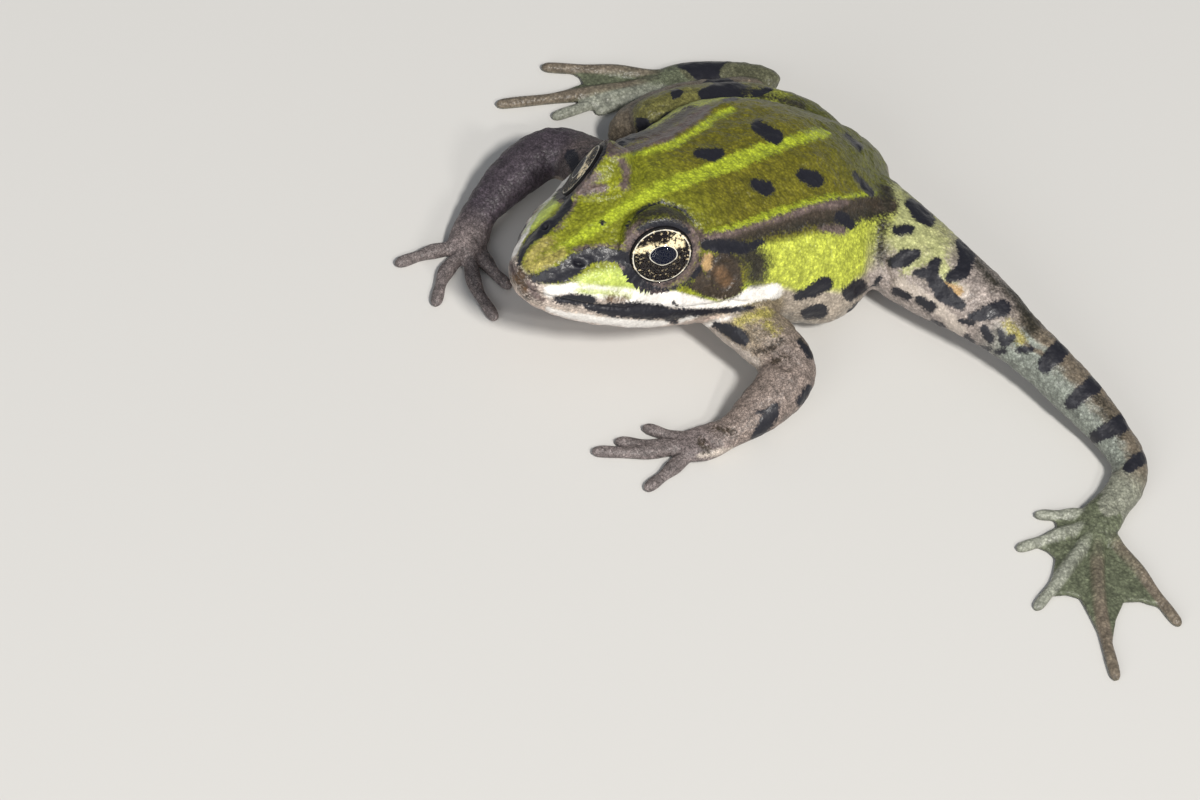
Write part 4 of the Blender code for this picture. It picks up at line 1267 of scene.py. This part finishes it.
def skin_material():
    """Wet, granular skin: broad colours, markings with ragged edges, and granule tops lighter and the
    pits between them darker, partly the skin's own tone and partly painted light and shade.
    """
    n = Nodes("skin")
    where = n.place()
    speck = n.noise(where, SPECK_SIZE, 2.0, 0.6)
    fine = n.noise(where, FINE_SIZE, 3.0, 0.6)
    medium = n.noise(where, MEDIUM_SIZE, 3.0, 0.6)
    grain = n.cells(where, GRAIN_SIZE)
    warts = n.cells(where, WART_SIZE)

    colour = n.field("base", "Color")
    for name, mark in (("fingers", FINGER_GREY), ("inner_toes", TOE_PALE), ("outer_toes", TOE_BROWN)):
        colour = n.mix(n.step(n.field(name), 0.30, -0.15), colour, mark)
    amount = 1.0
    wobble = n.ramp(fine, 0.3, 0.7, -0.5, 0.5)
    for layer in LAYERS:
        share = n.step(n.field(layer.name) + wobble * layer.ragged, layer.soft, -layer.soft)
        colour = n.mix(share, colour, layer.colour)
        amount = n.mix_values(share, amount, layer.grit)

    # granule tops lighter and the pits between them darker: partly the skin's own tone, partly painted
    # light and shade
    granules = n.ramp(grain, 0.10, 0.65, 1.14, 0.70) * n.ramp(warts, 0.15, 0.70, 1.10, 0.86)
    mottle = n.ramp(medium, 0.32, 0.68, 0.70, 1.26) * n.ramp(fine, 0.32, 0.68, 0.80, 1.20)
    salt = n.mix_values(n.field("grit"), 1.0, n.ramp(speck, 0.36, 0.66, 0.50, 1.70))
    shade = n.mix_values(amount, 1.0, granules * mottle * salt)

    height = (fine * 0.55 + grain * -0.95 + warts * -0.9) * n.ramp(amount, 0.3, 1.0, 0.35, 1.0)
    given = {"Strength": BUMP_STRENGTH, "Distance": BUMP_DEPTH * MM, "Height": height}
    bump = n.make("ShaderNodeBump", "Normal", given)
    wet = n.ramp(medium, 0.3, 0.7, *WET_ROUGHNESS)
    return n.surface({
        "Base Color": n.mix(1.0, colour, n.grey(shade), "MULTIPLY"),
        "Normal": bump,
        "Coat Normal": bump,
        "Roughness": n.mix_values(n.field("grit"), wet, LIMB_ROUGHNESS),
        "Specular IOR Level": SKIN_SPECULAR,
        "Coat Weight": COAT,
        "Coat Roughness": COAT_ROUGHNESS,
        "Coat IOR": COAT_IOR,
    })


def iris_material():
    """Black iris dusted with gold, gold band over a dark pupil, and a thin pale outer ring."""
    n = Nodes("iris")
    where = n.place()
    u, v, depth = (n.make("ShaderNodeSeparateXYZ", axis, {0: where}) / MM for axis in range(3))
    radius = n.math("SQRT", u * u + v * v)
    flecks = n.noise(where, 0.36, 2.5, 0.65)
    clumps = n.noise(where, 0.7, 2.0, 0.5)
    frill = (n.noise(where, 0.35, 2.0, 0.5) - 0.5) * 0.5

    down = n.math("MAXIMUM", v * -1, 0.0)
    narrow = down * down * PUPIL_POINTED + 1.0
    across = (u - PUPIL_OFF) / PUPIL_LONG * narrow
    tall = (v - PUPIL_RAISED) / PUPIL_TALL
    pupil = n.math("SQRT", across * across + tall * tall)

    ragged = v + frill * 2.0
    band = n.step(ragged - (u * 0.14 + 0.80), -0.15, 0.25)
    band = band * n.step(ragged - (u * 0.42 + 2.25), 0.20, -0.15)
    wedge = n.step(n.math("ABSOLUTE", frill * 2.5 + u + 0.35), 1.15, 0.75) * n.step(ragged, 1.55, 1.95)
    dust = n.step(flecks + clumps * 0.5, 0.60, 0.80)
    gold = band * n.step(u - frill, 2.75, 2.15) * (1.0 - wedge) * dust
    sparks = n.step(flecks, 0.58, 0.64) * n.ramp(radius, 1.6, 2.9, 0.20, 1.0)
    colour = n.mix(sparks, IRIS_BROWN, IRIS_GOLD)
    colour = n.mix(gold, colour, IRIS_BRIGHT)
    broken = n.step(clumps, 0.30, 0.55)
    colour = n.mix(n.step(pupil, 1.11, 1.05) * n.ramp(broken, 0, 1, 0.40, 0.95), colour, RING_CREAM)
    colour = n.mix(n.step(pupil, 1.04, 1.00), colour, PUPIL)
    rim = n.step(n.math("ABSOLUTE", radius - RING_RADIUS), 0.09, 0.02)
    colour = n.mix(rim * n.ramp(broken, 0, 1, 0.25, 0.85), colour, RING_CREAM)
    colour = n.mix(n.step(radius, RING_RADIUS + 0.10, RING_RADIUS + 0.16), colour, EYE_DARK)
    colour = n.mix(n.step(depth, IRIS_DEPTH - 0.25, IRIS_DEPTH - 0.35), colour, EYE_DARK)
    roughness = n.ramp(gold, 0.0, 1.0, 0.5, 0.3)
    return n.surface({"Base Color": colour, "Roughness": roughness, "Specular IOR Level": IRIS_SPECULAR})


def cornea_material():
    """A clear film that only mirrors a little of the light."""
    return Nodes("cornea").surface({
        "Base Color": (1, 1, 1),
        "Metallic": 1.0,
        "Roughness": CORNEA_ROUGHNESS,
        "Alpha": CORNEA_MIRROR,
    })


def turned(name, profile, sides):
    """A closed surface turned round Z from rows of radius and height that start and end on the axis."""
    verts = [(0, 0, profile[0][1])]
    for radius, height in profile[1:-1]:
        for angle in np.linspace(0, 2 * math.pi, sides, endpoint=False):
            verts.append((radius * math.cos(angle), radius * math.sin(angle), height))
    verts.append((0, 0, profile[-1][1]))
    faces = []
    for k in range(sides):
        after = (k + 1) % sides
        faces.append((0, 1 + k, 1 + after))
        for row in range(len(profile) - 3):
            low = 1 + row * sides
            faces.append((low + k, low + after, low + sides + after, low + sides + k))
        last = len(verts) - 1 - sides
        faces.append((len(verts) - 1, last + after, last + k))
    return mesh_object(name, verts, faces)


def iris_height(radius):
    return IRIS_DEPTH + IRIS_RISE * (1 - (radius / IRIS_RADIUS) ** 2)


def eyeball_profile():
    rim = math.asin(IRIS_RADIUS / EYE_RADIUS)
    rows = [(EYE_RADIUS * math.sin(a), EYE_RADIUS * math.cos(a)) for a in np.linspace(math.pi, rim, 40)]
    return rows + [(r, iris_height(r)) for r in np.linspace(IRIS_RADIUS - 0.04, 0, 24)]


def cornea_profile():
    rows = [(r, iris_height(r) + CORNEA_GAP) for r in np.linspace(0, IRIS_RADIUS - 0.12, 20)]
    rim = math.asin(IRIS_RADIUS / EYE_RADIUS) - 0.01
    return rows + [(EYE_RADIUS * math.sin(a), EYE_RADIUS * math.cos(a)) for a in np.linspace(rim, 0, 30)]


def make_eye(side, name, profile, material, shift):
    """A piece of an eye, whose own Z looks out and whose X runs along the pupil."""
    out = Vector(on_side(IRIS_WAY, side)).normalized()
    back = Vector(on_side(PUPIL_WAY, side))
    along = (back - out * back.dot(out)).normalized() * side
    up = out.cross(along)
    eye = turned(name, profile, 96)
    eye.data.transform(Matrix.Scale(MM, 4))
    place = (Vector(on_side(EYE, side)) + shift) * MM
    eye.matrix_world = Matrix.Translation(place) @ Matrix((along, up, out)).transposed().to_4x4()
    eye.data.shade_smooth()
    eye.data.materials.append(material)
    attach(eye, "root")
    return eye


def make_camera(shift):
    right, down, look = camera_axes()
    place = (camera_place() + shift) * MM
    camera = add_object("camera", bpy.data.cameras.new("camera"))
    camera.data.sensor_width = SENSOR
    camera.data.lens = SENSOR * DISTANCE * PIXELS_PER_MM / PHOTO_SIZE[0]
    camera.data.clip_start = CAMERA_CLIP
    camera.matrix_world = Matrix((
        (right.x, -down.x, -look.x, place.x),
        (right.y, -down.y, -look.y, place.y),
        (right.z, -down.z, -look.z, place.z),
        (0, 0, 0, 1),
    ))
    bpy.context.scene.camera = camera


def make_lamp(lamp):
    data = bpy.data.lights.new(lamp.name, "AREA")
    data.shape = "DISK"
    data.size = lamp.size
    data.energy = lamp.power
    data.color = lamp.colour
    light = add_object(lamp.name, data)
    light.location = lamp.place
    light.rotation_euler = (-Vector(lamp.place)).to_track_quat("-Z", "Y").to_euler()


def make_stage():
    """A pale floor under a pale sky, a strong lamp, a small one for the eyes' glint and a wide fill."""
    corners = [(x * FLOOR_HALF, y * FLOOR_HALF, 0) for x, y in ((-1, -1), (1, -1), (1, 1), (-1, 1))]
    floor = mesh_object("floor", corners, [(0, 1, 2, 3)])
    matt = Nodes("floor").surface({"Base Color": FLOOR_GREY, "Roughness": FLOOR_ROUGHNESS})
    floor.data.materials.append(matt)
    world = bpy.data.worlds.new("world")
    world.use_nodes = True
    background = world.node_tree.nodes["Background"]
    background.inputs["Color"].default_value = (*SKY, 1)
    background.inputs["Strength"].default_value = SKY_STRENGTH
    bpy.context.scene.world = world
    bpy.context.scene.view_settings.view_transform = "Standard"
    for lamp in LAMPS:
        make_lamp(lamp)


def main():
    for obj in list(bpy.data.objects):
        bpy.data.objects.remove(obj, do_unlink=True)
    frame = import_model()
    low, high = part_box("eye_left")
    shift = (Vector(low) + Vector(high)) / 2 / MM - Vector(EYE)

    skin = make_flesh()
    verts, normals = skin_arrays(skin)
    pencil = PhotoPencil(verts, [tuple(face.vertices) for face in skin.data.polygons])
    verts = open_lids(shape_details(verts, normals, pencil))
    verts[:, 2] = np.maximum(verts[:, 2], 0)
    set_verts(skin, verts)
    paint(skin, pencil)
    skin.data.transform(Matrix.Scale(MM, 4) @ Matrix.Translation(shift))
    skin.data.shade_smooth()
    skin.data.materials.clear()
    skin.data.materials.append(skin_material())
    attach(skin, "root")
    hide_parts(*[name for name in frame["nodes"] if not name.startswith("eye_")])

    iris, cornea = iris_material(), cornea_material()
    for word, side in (("left", 1), ("right", -1)):
        eyeball = make_eye(side, f"eyeball_{word}", eyeball_profile(), iris, shift)
        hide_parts(f"eye_{word}")
        make_eye(side, f"cornea_{word}", cornea_profile(), cornea, shift)

    make_camera(shift)
    make_stage()


main()
